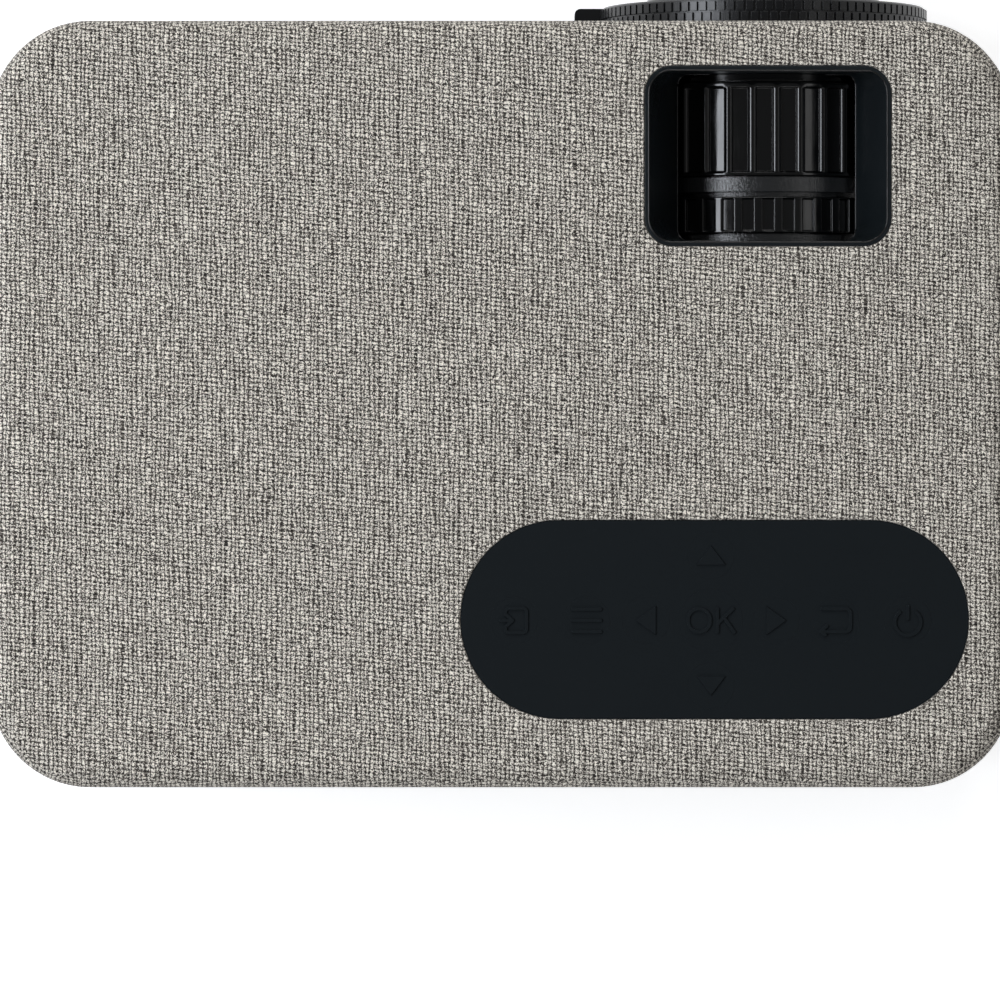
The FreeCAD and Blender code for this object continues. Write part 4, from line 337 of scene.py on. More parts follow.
@dataclass(frozen=True)
class WovenCloth(Finish):
    """Plain-woven linen-look polyester in flecked grey yarn, bonded to the case."""

    # Thick soft yarns over and under each other, in threads of uneven width. The colour is painted from each yarn's
    # height: a painted highlight on the crests, a mid-grey ground, and near-black holes between the yarns that hold
    # painted shade. The flecks are drawn coarser than single fibres, so that they show.
    # The first colour is the painted shade in the holes between yarns, the second the painted highlight on the
    # crests.
    gap: str = "#1a1715"
    painted_crest_highlight: str = "#efe9dd"
    hole_and_shade_at: float = 0.04
    colour_at: float = 0.32
    painted_highlight_at: float = 0.84
    painted_light_power: float = 1.3
    warp_mm: float = 1.0
    weft_mm: float = 0.945
    yarn_mm: float = 0.22
    skew: float = math.radians(6)
    corner_mm: float = 21.5
    lid_from: float = 0.7
    warp_level: float = 1.15
    weft_level: float = 0.88
    bends: tuple[tuple[float, float, float], ...] = ((6.0, 1.2, 1.2), (1.3, 1.2, 0.6))
    bend_stretch: float = 0.16
    warp_cover: Pair = (1.2, 0.9)
    weft_cover: Pair = (1.2, 0.8)
    thread_spread: float = 0.73
    run: float = 1.5
    drift: float = 0.08
    fibre: Pair = (1.6, 1.6)
    fibre_scale: float = 2.2
    fleck: Pair = (-1.9, 3.7)
    slub_layer: float = 9.0
    fibre_layer: float = 5.0
    relief: float = 0.6
    specular: float = 0.2
    sheen: float = 0.1

    def build(self) -> Material:
        """Makes the material.

        Returns:
            The cloth.
        """
        material, tree, shader, place = surface(self.name)
        normal = add_node(tree, "TexCoord", []).outputs["Normal"]
        middle = add_node(tree, "VectorMath", [place, (CASE_CENTRE.x, CASE_CENTRE.y, 0)], operation="SUBTRACT")
        point = add_node(tree, "VectorMath", {0: middle, 3: 1 / MM}, operation="SCALE")
        across, along = self.thread_counts(tree, point, normal)
        # A sine's size is a yarn's round top, and its sign changes from one yarn to the next. Where the signs of the
        # two sets agree, the warp lies over the weft.
        phases = [add_node(tree, "Math", [count, math.pi], operation="MULTIPLY") for count in (across, along)]
        sines = [add_node(tree, "Math", [phase], operation="SINE") for phase in phases]
        swells = [add_node(tree, "Math", [sine], operation="ABSOLUTE") for sine in sines]
        warp_round, warp_shade = self.yarn(tree, swells[0], across, along, self.warp_level, self.warp_cover)
        weft_round, weft_shade = self.yarn(tree, swells[1], along, across, self.weft_level, self.weft_cover)
        crossing = add_node(tree, "Math", sines, operation="MULTIPLY")
        over = add_node(tree, "Math", [crossing], operation="SIGN")
        heights = []
        for own, other, turn in ((warp_round, swells[1], 0.5), (weft_round, swells[0], -0.5)):
            half = add_node(tree, "Math", [over, turn], operation="MULTIPLY")
            lift = add_node(tree, "Math", [half, other, 0.5], operation="MULTIPLY_ADD")
            heights.append(add_node(tree, "Math", [own, lift], operation="MULTIPLY"))
        height = add_node(tree, "Math", heights, operation="MAXIMUM")
        warp_on_top = add_node(tree, "Math", heights, operation="GREATER_THAN")
        shade = add_node(tree, "Mix", {SHARE: warp_on_top, NUMBER_A: weft_shade, NUMBER_B: warp_shade})
        # The yarn's height, sharpened, paints light into the colour: painted highlight on the crests, painted shade
        # down into the holes.
        sunk = add_node(tree, "Math", [height, self.painted_light_power], operation="POWER")
        painted_light = add_node(tree, "Math", [sunk, shade], operation="MULTIPLY")
        ramp = add_node(tree, "ValToRGB", {"Fac": painted_light})
        stops = ramp.color_ramp.elements
        stops[0].position, stops[0].color = self.hole_and_shade_at, linear(self.gap)
        stops[1].position, stops[1].color = self.painted_highlight_at, linear(self.painted_crest_highlight)
        stops.new(self.colour_at).color = linear(self.colour)
        bump = add_node(tree, "Bump", {"Height": sunk, "Distance": self.yarn_mm * MM, "Strength": self.relief})
        feed(shader, {
            "Base Color": ramp, "Roughness": self.roughness, "Normal": bump, "Specular IOR Level": self.specular,
            "Sheen Weight": self.sheen})
        return material

    def thread_counts(self, tree: NodeTree, point: Node, normal: NodeSocket) -> tuple[Node, Node]:
        """Counts the threads: over the lid by x and y, and round the sides by the way round and z.

        Args:
            tree: The material's node tree.
            point: The point, from the middle of the case, in millimetres.
            normal: The surface's direction.

        Returns:
            How many warp threads the point is across, and how many weft threads along.
        """
        # Round the sides, the way is the arc round the nearest corner and the straight runs before and after it.
        size = (CASE_HIGH - CASE_LOW) / MM
        straight_x, straight_y = size.x / 2 - self.corner_mm, size.y / 2 - self.corner_mm
        x, y, z = add_node(tree, "SeparateXYZ", [point]).outputs
        far_x = add_node(tree, "Math", [x], operation="ABSOLUTE")
        core_x = add_node(tree, "Math", [far_x, straight_x], operation="MINIMUM")
        core_y = add_node(tree, "Clamp", [y, -straight_y, straight_y])
        out_x = add_node(tree, "Math", [far_x, core_x], operation="SUBTRACT")
        out_y = add_node(tree, "Math", [y, core_y], operation="SUBTRACT")
        bearing = add_node(tree, "Math", [out_y, out_x], operation="ARCTAN2")
        bent = add_node(tree, "Math", [bearing, self.corner_mm, core_y], operation="MULTIPLY_ADD")
        rest = add_node(tree, "Math", [straight_x, core_x], operation="SUBTRACT")
        side = add_node(tree, "Math", [y], operation="SIGN")
        way = add_node(tree, "Math", [rest, side, bent], operation="MULTIPLY_ADD")
        upward = add_node(tree, "SeparateXYZ", [normal]).outputs[2]
        lid = add_node(tree, "Math", [upward, self.lid_from], operation="GREATER_THAN")
        u = add_node(tree, "Mix", {SHARE: lid, NUMBER_A: way, NUMBER_B: x})
        v = add_node(tree, "Mix", {SHARE: lid, NUMBER_A: z, NUMBER_B: y})
        flat = add_node(tree, "CombineXYZ", [u, v])
        sets = ((u, 0.0, self.warp_mm, (1.0, self.bend_stretch, 1.0)),
                (v, math.tan(self.skew), self.weft_mm, (self.bend_stretch, 1.0, 1.0)))
        counts = []
        for turn, (base, slope, pitch_mm, stretch) in enumerate(sets):
            leaning = add_node(tree, "Math", [u, slope, base], operation="MULTIPLY_ADD")
            count = add_node(tree, "Math", [leaning, pitch_mm], operation="DIVIDE")
            drawn = add_node(tree, "VectorMath", [flat, stretch], operation="MULTIPLY")
            for run_mm, *reach in self.bends:
                bend = add_node(tree, "TexNoise", {"Vector": drawn, "Scale": 1 / run_mm, "Detail": 1.0})
                count = add_node(tree, "Math", [bend, reach[turn], count], operation="MULTIPLY_ADD")
            counts.append(count)
        return counts[0], counts[1]

    def yarn(self, tree: NodeTree, swell: Node, count: Node, other: Node, level: float,
             cover: Pair) -> tuple[Node, Node]:
        """Gives each yarn its own width and shade, which drift along it, and fine fibres over them.

        Args:
            tree: The material's node tree.
            swell: The wave that a yarn's round top follows, from 0 to 1.
            count: Threads counted across this set.
            other: Threads counted across the other set, which is the way along this one.
            level: How pale this set is on the whole.
            cover: The power that rounds its thinnest and its thickest yarns.

        Returns:
            The yarn's round top from 0 to 1, and its shade about 1.
        """
        thread = add_node(tree, "Math", [count], operation="FLOOR")
        spread = add_node(tree, "Math", [thread, self.thread_spread], operation="MULTIPLY")
        slow = add_node(tree, "Math", [other, self.run], operation="MULTIPLY")
        walk = add_node(tree, "CombineXYZ", [spread, slow, level * self.slub_layer])
        slub = add_node(tree, "TexNoise", {"Vector": walk, "Scale": 1.0, "Detail": 2.0}).outputs["Color"]
        width, tone, _ = add_node(tree, "SeparateXYZ", [slub]).outputs
        thin = add_node(tree, "MapRange", [width, DIM, BRIGHT, *cover])
        top = add_node(tree, "Math", [swell, thin], operation="POWER")
        beside = add_node(tree, "Math", [count, self.fibre[0]], operation="MULTIPLY")
        onward = add_node(tree, "Math", [other, self.fibre[1]], operation="MULTIPLY")
        strands = add_node(tree, "CombineXYZ", [beside, onward, level * self.fibre_layer])
        fibres = add_node(tree, "TexNoise", {
            "Vector": strands, "Scale": self.fibre_scale, "Detail": 3.0, "Roughness": 0.8})
        drifted = add_node(tree, "MapRange", [
            tone, DIM, BRIGHT, (1 - self.drift) * level, (1 + self.drift) * level])
        flecked = add_node(tree, "MapRange", [fibres, DIM, BRIGHT, *self.fleck])
        return top, add_node(tree, "Math", [drifted, flecked], operation="MULTIPLY")


@dataclass(frozen=True)
class Powdery(Finish):
    """Silicone full of phosphor, or unsized paper: matt and faintly grainy."""

    # Powder or loose fibres give the eye two close colours side by side. A glow makes the surface white to the
    # camera, and in metal and glass, and leaves the shadows on it.
    paler: str
    grain_mm: float
    specular: float = 0.5
    glow: float = 0.0

    def build(self) -> Material:
        """Makes the material.

        Returns:
            The powdery surface.
        """
        material, tree, shader, place = surface(self.name)
        grain = add_node(tree, "TexNoise", {"Vector": place, "Scale": 1 / (self.grain_mm * MM), "Detail": 2.0})
        colour = add_node(tree, "Mix", {
            SHARE: grain, COLOUR_A: linear(self.colour), COLOUR_B: linear(self.paler)}, data_type="RGBA")
        feed(shader, {
            "Base Color": colour.outputs[MIXED], "Roughness": self.roughness, "Specular IOR Level": self.specular})
        if self.glow:
            rays = add_node(tree, "LightPath", []).outputs
            seen = rays["Is Camera Ray"]
            for ray in ("Is Glossy Ray", "Is Transmission Ray"):
                seen = add_node(tree, "Math", [seen, rays[ray]], operation="MAXIMUM")
            strength = add_node(tree, "Math", [seen, self.glow], operation="MULTIPLY")
            glow = add_node(tree, "Emission", {"Color": linear("#ffffff"), "Strength": strength})
            feed(tree.nodes["Material Output"], {"Surface": add_node(tree, "AddShader", [shader, glow])})
        return material


FINISHES: dict[str, Finish] = {
    "woven_fabric": WovenCloth("woven_linen_polyester", "#6f6860", 0.9),
    "black_plastic": MouldedPlastic("moulded_abs_black", "#1b1d1f", 0.5, rubbed="#3a3d40"),
    "fascia_plastic": MouldedPlastic(
        "moulded_abs_satin", "#0c0e10", 0.28, rubbed="#33373b", grain_mm=0.25, grain_depth_mm=0.006,
        specular=0.35),
    "window_black": MouldedPlastic(
        "fine_grained_abs", "#13181b", 0.3, rubbed="#33373b", grain_mm=0.25, grain_depth_mm=0.006, specular=0.3),
    "soft_touch": MouldedPlastic(
        "soft_touch_coated_abs", "#101518", 0.7, rubbed="#262b2f", grain_mm=0.3, grain_depth_mm=0.01,
        edge_mm=0.06, specular=0.1),
    "ring_black": MouldedPlastic(
        "satin_ring_abs", "#0b0c0e", 0.26, rubbed="#2c2f33", grain_mm=0.3, grain_depth_mm=0.01, edge_mm=0.12,
        specular=0.45),
    "gloss_black": PolishedPlastic("polished_polycarbonate_black", "#050607", 0.07, edge_mm=0.15),
    "satin_black": MouldedPlastic(
        "moulded_glass_filled_nylon", "#141517", 0.45, rubbed="#34373a", grain_mm=0.45, grain_depth_mm=0.06),
    "coarse_black": MouldedPlastic(
        "coarse_eroded_nylon", "#16181a", 0.2, rubbed="#34373a", grain_mm=0.45, grain_depth_mm=0.1, specular=1.0,
        painted_sparkle=0.6),
    "black_rubber": MouldedPlastic(
        "nitrile_rubber", "#161617", 0.8, rubbed="#2c2c2e", grain_mm=0.8, grain_depth_mm=0.03, specular=0.3),
    "dark_filter": PolishedPlastic("smoked_acrylic", "#12060a", 0.05),
    "lens_glass": Glass("coated_optical_glass", "#f2f4ff", 0.0, tint="#b6a8e8", glare=0.08),
    # Painted shade: the inner lenses' glass is tinted near black for the dark inside of the barrel seen through
    # them.
    "deep_glass": Glass("flint_glass_painted_dark", "#262834", 0.0, tint="#1e1b38", glare=0.06),
    "lcd_glass": Glass("panel_glass", "#30343c", 0.02, tint="#58606c", see_through=0.4),
    "zinc_steel": Metal("zinc_plated_rolled_steel", "#a9acae", 0.34),
    "nickel_steel": Metal("nickel_plated_steel", "#c4bfb4", 0.22, lay=Lay.PLATED),
    "polished_steel": Metal("ground_steel_rod", "#c9cacc", 0.14, lay=Lay.TURNED),
    "bare_aluminium": Metal("extruded_aluminium", "#c0c3c6", 0.38, lay=Lay.CAST),
    "brass": Metal("turned_brass", "#c9a24d", 0.25, lay=Lay.TURNED, dull="#7d6430"),
    "tray_plastic": MouldedPlastic("moulded_abs_charcoal", "#2a2c2f", 0.48, rubbed="#50545a"),
    "green_board": CircuitBoard("solder_masked_glass_fibre", "#1d5a31", 0.3),
    "lamp_phosphor": Powdery("phosphor_silicone", "#e8c64a", 0.5, paler="#f7e79a", grain_mm=0.2),
}


class Workshop:
    """Keeps one material of each finish and puts it on the pieces."""

    WELD_MM = 0.001
    ROUNDING_STEPS = 4
    SHARP_FROM = math.radians(40)

    def __init__(self) -> None:
        """Starts with no materials made."""
        self.materials: dict[str, Material] = {}

    def material(self, slot: str) -> Material:
        """Gives the material for a finish, and makes it the first time.

        Args:
            slot: The finish's name in the record.

        Returns:
            The material.
        """
        if slot not in self.materials:
            self.materials[slot] = FINISHES[slot].build()
        return self.materials[slot]

    def dress(self, node: str, finish: str | None = None, rounding_mm: float = 0.0) -> None:
        """Puts each slot's finish on a CAD solid.

        Args:
            node: The solid's name.
            finish: Another finish than its slot's own, where the surface was made another way.
            rounding_mm: The radius that the mould leaves on its corners, if it is seen.
        """
        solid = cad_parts[node]
        if rounding_mm:
            self.round_corners(solid, rounding_mm)
        for place in solid.material_slots:
            place.material = self.material(finish or place.material.name.split(".")[0])
        log.info("dressed %s", node)

    def round_corners(self, piece: Object, rounding_mm: float) -> None:
        """Rounds a piece's sharp corners.

        Args:
            piece: The piece.
            rounding_mm: The corners' radius.
        """
        piece.modifiers.new("joined_faces", "WELD").merge_threshold = self.WELD_MM * MM
        rounding = piece.modifiers.new("rounded_corners", "BEVEL")
        rounding.width, rounding.segments = rounding_mm * MM, self.ROUNDING_STEPS
        rounding.angle_limit, rounding.harden_normals = self.SHARP_FROM, True

    def add(self, name: str, mesh: Mesh, body: str, slot: str) -> Object:
        """Adds a piece to the scene, dressed, and riding on its body.

        Args:
            name: The piece's name.
            mesh: Its shape, in the frame's metres.
            body: The body that carries it.
            slot: The finish's name in the record.

        Returns:
            The new object.
        """
        piece = bpy.data.objects.new(name, mesh)
        bpy.context.scene.collection.objects.link(piece)
        mesh.materials.clear()
        mesh.materials.append(self.material(slot))
        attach(piece, body)
        log.info("added %s", name)
        return piece


def shape(name: str, corners: list, faces: list[list[int]]) -> Mesh:
    """Makes a mesh.

    Args:
        name: Its name.
        corners: Its points.
        faces: The points of each face, by number.

    Returns:
        The mesh.
    """
    mesh = bpy.data.meshes.new(name)
    mesh.from_pydata(corners, [], faces)
    return mesh


def bands(rings: int, count: int, closed: bool = True, first: int = 0) -> list[list[int]]:
    """Joins each ring of points to the next with a band of four-sided faces.

    Args:
        rings: How many rings there are.
        count: How many points each has.
        closed: Whether the last ring joins the first.
        first: The number of the first point.

    Returns:
        The faces.
    """
    faces = []
    for ring in range(rings if closed else rings - 1):
        here, there = first + ring * count, first + (ring + 1) % rings * count
        faces += [[here + k, here + (k + 1) % count, there + (k + 1) % count, there + k] for k in range(count)]
    return faces


class Form(Enum):
    """How a stroke of a sign is raised."""

    BAR = "bar"
    LOOP = "loop"
    PLATE = "plate"


Stroke = tuple[Form, list[Pair]]

# A stroke's sides lean in by the first share of its height, and a plate's by the second times as much. Each
# stroke stands higher than the last by the third, so that no two tops lie in one plane. The fourth caps a mitre.
LEAN, PLATE_LEAN, LIFT, LEAST_MITRE = 0.5, 1.6, 0.04, 0.5


def raised(name: str, strokes: list[Stroke], centre: Vector, width: float, height: float) -> Mesh:
    """Makes low flat-topped bars, loops and plates on a level face.

    Args:
        name: The mesh's name.
        strokes: Each stroke's form and its points in millimetres from the centre.
        centre: The middle of the drawing, on the face.
        width: The bars' width.
        height: How far they stand up.

    Returns:
        The mesh.
    """
    lean, half = height * LEAN, width / 2
    corners: list[Vector] = []
    faces: list[list[int]] = []
    for turn, (form, points) in enumerate(strokes):
        path = [Vector((x * MM, y * MM)) for x, y in points]
        top = height * (1 + LIFT * turn)
        if form is Form.PLATE:
            middle = sum(path, Vector((0, 0))) / len(path)
            rings = [(path, 0.0), ([p + (middle - p).normalized() * lean * PLATE_LEAN for p in path], top)]
        elif form is Form.LOOP:
            rings = [(offset_loop(path, reach), z) for reach, z in
                     ((half, 0.0), (half - lean, top), (lean - half, top), (-half, 0.0))]
        else:
            rings = [(bar_outline(path, half), 0.0), (bar_outline(path, half - lean), top)]
        first, count = len(corners), len(rings[0][0])
        corners += [Vector((p.x, p.y, z)) for outline, z in rings for p in outline]
        faces += bands(len(rings), count, closed=False, first=first)
        lid = first + count
        if form is Form.PLATE:
            faces.append([lid + i for i in range(count)])
        elif form is Form.BAR:
            faces += [[lid + i, lid + i + 1, lid + count - 2 - i, lid + count - 1 - i]
                      for i in range(count // 2 - 1)]
    return shape(name, [tuple(corner + centre) for corner in corners], faces)


def offset_loop(path: list[Vector], reach: float) -> list[Vector]:
    """Moves a closed path sideways.

    Args:
        path: The path's points.
        reach: How far to its left.

    Returns:
        The moved points.
    """
    moved = []
    for i, point in enumerate(path):
        before = (point - path[i - 1]).normalized()
        after = (path[(i + 1) % len(path)] - point).normalized()
        way = (before + after).normalized()
        moved.append(point + Vector((-way.y, way.x)) * reach / max(LEAST_MITRE, way.dot(after)))
    return moved


def bar_outline(path: list[Vector], half: float, cap_steps: int = 6) -> list[Vector]:
    """Draws the outline of a bar with round ends that follows a path.

    Args:
        path: The path's points.
        half: Half the bar's width.
        cap_steps: How many runs each half of a round end has.

    Returns:
        The outline, up the left side and back down the right, as many points on each.
    """
    left, right = [], []
    turns = [math.pi / 2 * step / cap_steps for step in range(cap_steps)]
    last = len(path) - 1
    for i, point in enumerate(path):
        before = (path[i] - path[i - 1]).normalized() if i else None
        after = (path[i + 1] - path[i]).normalized() if i < last else None
        way = ((before or after) + (after or before)).normalized()
        across = Vector((-way.y, way.x))
        reach = half / max(LEAST_MITRE, way.dot(after or before))
        for angle in turns if i == 0 else ():
            back = point - way * half * math.cos(angle)
            left.append(back + across * half * math.sin(angle))
            right.append(back - across * half * math.sin(angle))
        left.append(point + across * reach)
        right.append(point - across * reach)
        for angle in turns[::-1] if i == last else ():
            ahead = point + way * half * math.cos(angle)
            left.append(ahead + across * half * math.sin(angle))
            right.append(ahead - across * half * math.sin(angle))
    return left + right[::-1]


def arc(centre: Pair, radius: float, start: float, end: float, steps: int = 14) -> list[Pair]:
    """Points along part of a circle.

    Args:
        centre: The circle's middle.
        radius: Its radius.
        start: The first angle in degrees, from +x towards +y.
        end: The last angle.
        steps: How many runs join the points.

    Returns:
        The points.
    """
    angles = [math.radians(start + (end - start) * i / steps) for i in range(steps + 1)]
    return [(centre[0] + radius * math.cos(a), centre[1] + radius * math.sin(a)) for a in angles]


def tube(name: str, path: list[Vector], radius: float, sides: int = 10) -> Mesh:
    """Makes a closed tube that follows a loop.

    Args:
        name: The mesh's name.
        path: The loop's points.
        radius: The tube's radius.
        sides: How many faces go round it.

    Returns:
        The mesh.
    """
    corners = []
    for i, point in enumerate(path):
        way = (path[(i + 1) % len(path)] - path[i - 1]).normalized()
        across = way.cross(Vector((0, 0, 1))).normalized()
        up = across.cross(way)
        corners += [tuple(point + radius * (across * math.cos(a) + up * math.sin(a)))
                    for a in (2 * math.pi * k / sides for k in range(sides))]
    mesh = shape(name, corners, bands(len(path), sides))
    mesh.shade_smooth()
    return mesh


@dataclass
class Unit:
    """A sub-assembly, whose solids take the finishes that their own slots name."""

    solids: tuple[str, ...] = ()

    def build(self, shop: Workshop) -> None:
        """Dresses the solids.

        Args:
            shop: Where the materials come from.
        """
        for node in self.solids:
            shop.dress(node)


@dataclass
class Case(Unit):
    """The outer case: cloth skin, lid, bottom, fascia, vents and feet."""

    solids: tuple[str, ...] = ("top_cover", "bottom_case", "rubber_feet", "case_screws", "tripod_nut",
                               "tilt_foot_pad", "tilt_foot_screw", "front_panel", "remote_window",
                               "rear_panel", "side_vent", "drive_surround")
    hem_mm: float = 0.4

    def build(self, shop: Workshop) -> None:
        """Dresses the solids and makes the cloth skin, whose flat size is the lid's with a side's depth all round.

        Args:
            shop: Where the materials come from.
        """
        super().build(shop)
        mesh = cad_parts["fabric_wrap"].data.copy()
        skin = shop.add("cloth_skin", mesh, "root", "woven_fabric")
        shop.round_corners(skin, self.hem_mm)
        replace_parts(skin, "fabric_wrap")


@dataclass
class Keypad(Unit):
    """The keypad plate, its keys and their raised signs."""

    solids: tuple[str, ...] = ("keypad_panel", "key_board")
    keys: tuple[str, ...] = ("ok", "left", "right", "up", "down", "menu", "back", "source", "power")
    stroke_mm: float = 0.95
    raise_mm: float = 0.35
    sink_mm: float = 0.02
    gap_mm: float = 0.1
    web_clear_mm: float = 0.006
    web_depth_mm: float = 0.3
    web_sides: int = 96

    def build(self, shop: Workshop) -> None:
        """Dresses the plate and keys, closes the gap round each key and raises a sign on it.

        Args:
            shop: Where the materials come from.
        """
        super().build(shop)
        signs = self.strokes()
        for key in self.keys:
            shop.dress(f"key_{key}")
            low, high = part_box(f"key_{key}")
            middle = Vector(((low.x + high.x) / 2, (low.y + high.y) / 2, high.z - self.sink_mm * MM))
            self.web(shop, key)
            mesh = raised(f"sign_{key}", signs[key], middle, self.stroke_mm * MM, self.raise_mm * MM)
            shop.add(f"sign_{key}", mesh, f"key_{key}", "soft_touch")

    def web(self, shop: Workshop, key: str) -> None:
        """Makes the thin web of soft coating that bridges the hairline gap round a key.

        Args:
            shop: Where the materials come from.
            key: The key's name.
        """
        low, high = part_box(f"key_{key}")
        middle, foot = (low + high) / 2, high.z - self.web_depth_mm * MM
        top = [v.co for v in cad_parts[f"key_{key}"].data.vertices if v.co.z > foot]
        radius = max(math.hypot(co.x - middle.x, co.y - middle.y) for co in top)
        inner, outer = radius + self.web_clear_mm * MM, radius + (self.gap_mm - self.web_clear_mm) * MM
        rings = ((inner, foot), (inner, high.z), (outer, high.z), (outer, foot))
        angles = [2 * math.pi * i / self.web_sides for i in range(self.web_sides)]
        corners = [(middle.x + reach * math.cos(a), middle.y + reach * math.sin(a), z)
                   for reach, z in rings for a in angles]
        mesh = shape(f"web_{key}", corners, bands(len(rings), self.web_sides))
        shop.add(f"web_{key}", mesh, "root", "soft_touch")

    def strokes(self) -> dict[str, list[Stroke]]:
        """Draws the signs.

        Returns:
            Each key's strokes in millimetres from its middle.
        """
        bar, loop, plate = Form.BAR, Form.LOOP, Form.PLATE
        round_o = arc((-2.56, 0.15), 2.37, 180, 0) + arc((-2.56, -0.15), 2.37, 0, -180)
        box = ([(-1.9, 1.3), (-1.9, 1.9)] + arc((-1.2, 1.9), 0.7, 180, 90, 4)[1:]
               + arc((1.9, 1.9), 0.7, 90, 0, 4) + arc((1.9, -1.9), 0.7, 0, -90, 4)
               + arc((-1.2, -1.9), 0.7, -90, -180, 4) + [(-1.9, -1.3)])
        hook = ([(-2.9, 2.5), (2.0, 2.5)] + arc((2.2, 1.5), 1.0, 90, 0, 5)
                + arc((2.2, -1.4), 1.0, 0, -90, 5) + [(-2.9, -2.4)])
        return {
            "ok": [(loop, round_o), (bar, [(1.35, 2.5), (1.35, -2.5)]), (bar, [(4.7, 2.5), (1.55, -0.5)]),
                   (bar, [(2.7, 0.7), (4.95, -2.5)])],
            "left": [(plate, [(-2.3, 0.0), (2.2, -3.2), (2.2, 3.2)])],
            "right": [(plate, [(2.3, 0.0), (-2.2, 3.2), (-2.2, -3.2)])],
            "up": [(plate, [(0.0, 2.2), (-3.2, -2.1), (3.2, -2.1)])],
            "down": [(plate, [(0.0, -2.2), (3.2, 2.1), (-3.2, 2.1)])],
            "menu": [(bar, [(-3.0, y), (3.0, y)]) for y in (2.4, 0.0, -2.4)],
            "back": [(bar, hook), (bar, [(-1.9, -1.2), (-3.2, -2.4)]), (bar, [(-3.2, -2.4), (-2.2, -3.1)])],
            "source": [(bar, box), (bar, [(-2.9, 0.0), (-0.6, 0.0)]), (bar, [(-1.5, 1.0), (-0.4, 0.0)]),
                       (bar, [(-0.4, 0.0), (-1.5, -1.0)])],
            "power": [(bar, arc((0.0, -0.4), 2.8, 128, 412, 28)), (bar, [(0.0, 3.0), (0.0, 0.4)])],
        }


@dataclass(frozen=True)
class RibbedWheel:
    """A wheel that a fingertip turns, with round-topped ribs along its rim between two plain edges."""

    node: str
    body: str
    ribs: int
    rib_mm: float
    depth_mm: float
    turn: float
    rear_edge_mm: float
    front_edge_mm: float
    squareness: float = 2.0
    blend_mm: float = 0.35
    corner_mm: float = 0.25
    corner_ease: float = 0.3
    hold_mm: float = 0.15
    wall_mm: float = 0.3
    steps: int = 24
    rib_steps: int = 16
    blend_steps: int = 6
    sharp_from: float = math.radians(50)

    def bore(self, axis: Vector, inside: float) -> list[Pair]:
        """Follows the wheel's bore and any groove in it, as its solid has them.

        Args:
            axis: A point on the wheel's axis, which runs along y.
            inside: The radius that all of the bore lies within.

        Returns:
            Places along the axis and radii, from the front to the rear.
        """
        rings = {(round(v.co.y, 6), round(math.hypot(v.co.x - axis.x, v.co.z - axis.z), 5))
                 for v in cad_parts[self.node].data.vertices}
        path: list[Pair] = []
        for place in sorted({y for y, radius in rings if radius < inside}, reverse=True):
            here = [radius for y, radius in rings if y == place and radius < inside]
            path += [(place, radius)
                     for radius in sorted(here, key=lambda r: abs(r - path[-1][1]) if path else 0.0)]
        return path

    def build(self, shop: Workshop) -> None:
        """Makes the wheel and puts it in the place of its solid.

        Args:
            shop: Where the materials come from.
        """
        low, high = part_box(self.node)
        centre, radius, width = (low + high) / 2, (high.x - low.x) / 2, high.y - low.y
        pitch, half, power = 2 * math.pi / self.ribs, self.rib_mm * MM / radius / 2, self.squareness
        free = self.steps - self.rib_steps
        sector = [half * math.sin(math.pi / 2 * (2 * k / self.rib_steps - 1)) for k in range(self.rib_steps + 1)]
        sector += [half + (pitch - 2 * half) * (k + 1) / free for k in range(free - 1)]
        angles = [(i + 0.5) * pitch + self.turn + a for i in range(self.ribs) for a in sector]
        rises = [(1 - abs(a / half) ** power) ** (1 / power) if abs(a) < half else 0.0 for a in sector] * self.ribs
        corner, depth, fade, hold = (
            mm * MM for mm in (self.corner_mm, self.depth_mm, self.blend_mm, self.hold_mm))
        rear, front, eased = self.rear_edge_mm * MM, self.front_edge_mm * MM, corner * self.corner_ease
        blend = [k / self.blend_steps for k in range(self.blend_steps + 1)]
        # Each ring's place along the rim, how far it lies under it, and its share of plain edge.
        stations = [(0.0, corner, 1.0), (eased, eased, 1.0), (corner, 0.0, 1.0),
                    *((rear + b * fade, 0.0, (1 + math.cos(math.pi * b)) / 2) for b in blend),
                    (rear + fade + hold, 0.0, 0.0), (width - front - fade - hold, 0.0, 0.0),
                    *((width - front - (1 - b) * fade, 0.0, (1 - math.cos(math.pi * b)) / 2) for b in blend),
                    (width - corner, 0.0, 1.0), (width - eased, eased, 1.0), (width, corner, 1.0)]
        rings = [(low.y + along, [radius - drop - depth * (1 - up) * (1 - edge) for up in rises])
                 for along, drop, edge in stations]
        rings += [(place, [reach] * len(angles))
                  for place, reach in self.bore(centre, radius - (self.depth_mm + self.wall_mm) * MM)]
        corners = [(centre.x + reach * math.cos(a), place, centre.z + reach * math.sin(a))
                   for place, reaches in rings for a, reach in zip(angles, reaches)]
        faces = [face[:1] + face[:0:-1] for face in bands(len(rings), len(angles))]
        mesh = shape(f"{self.node}_rim", corners, faces)
        mesh.shade_smooth()
        mesh.set_sharp_from_angle(angle=self.sharp_from)
        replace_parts(shop.add(f"{self.node}_rim", mesh, self.body, "gloss_black"), self.node)


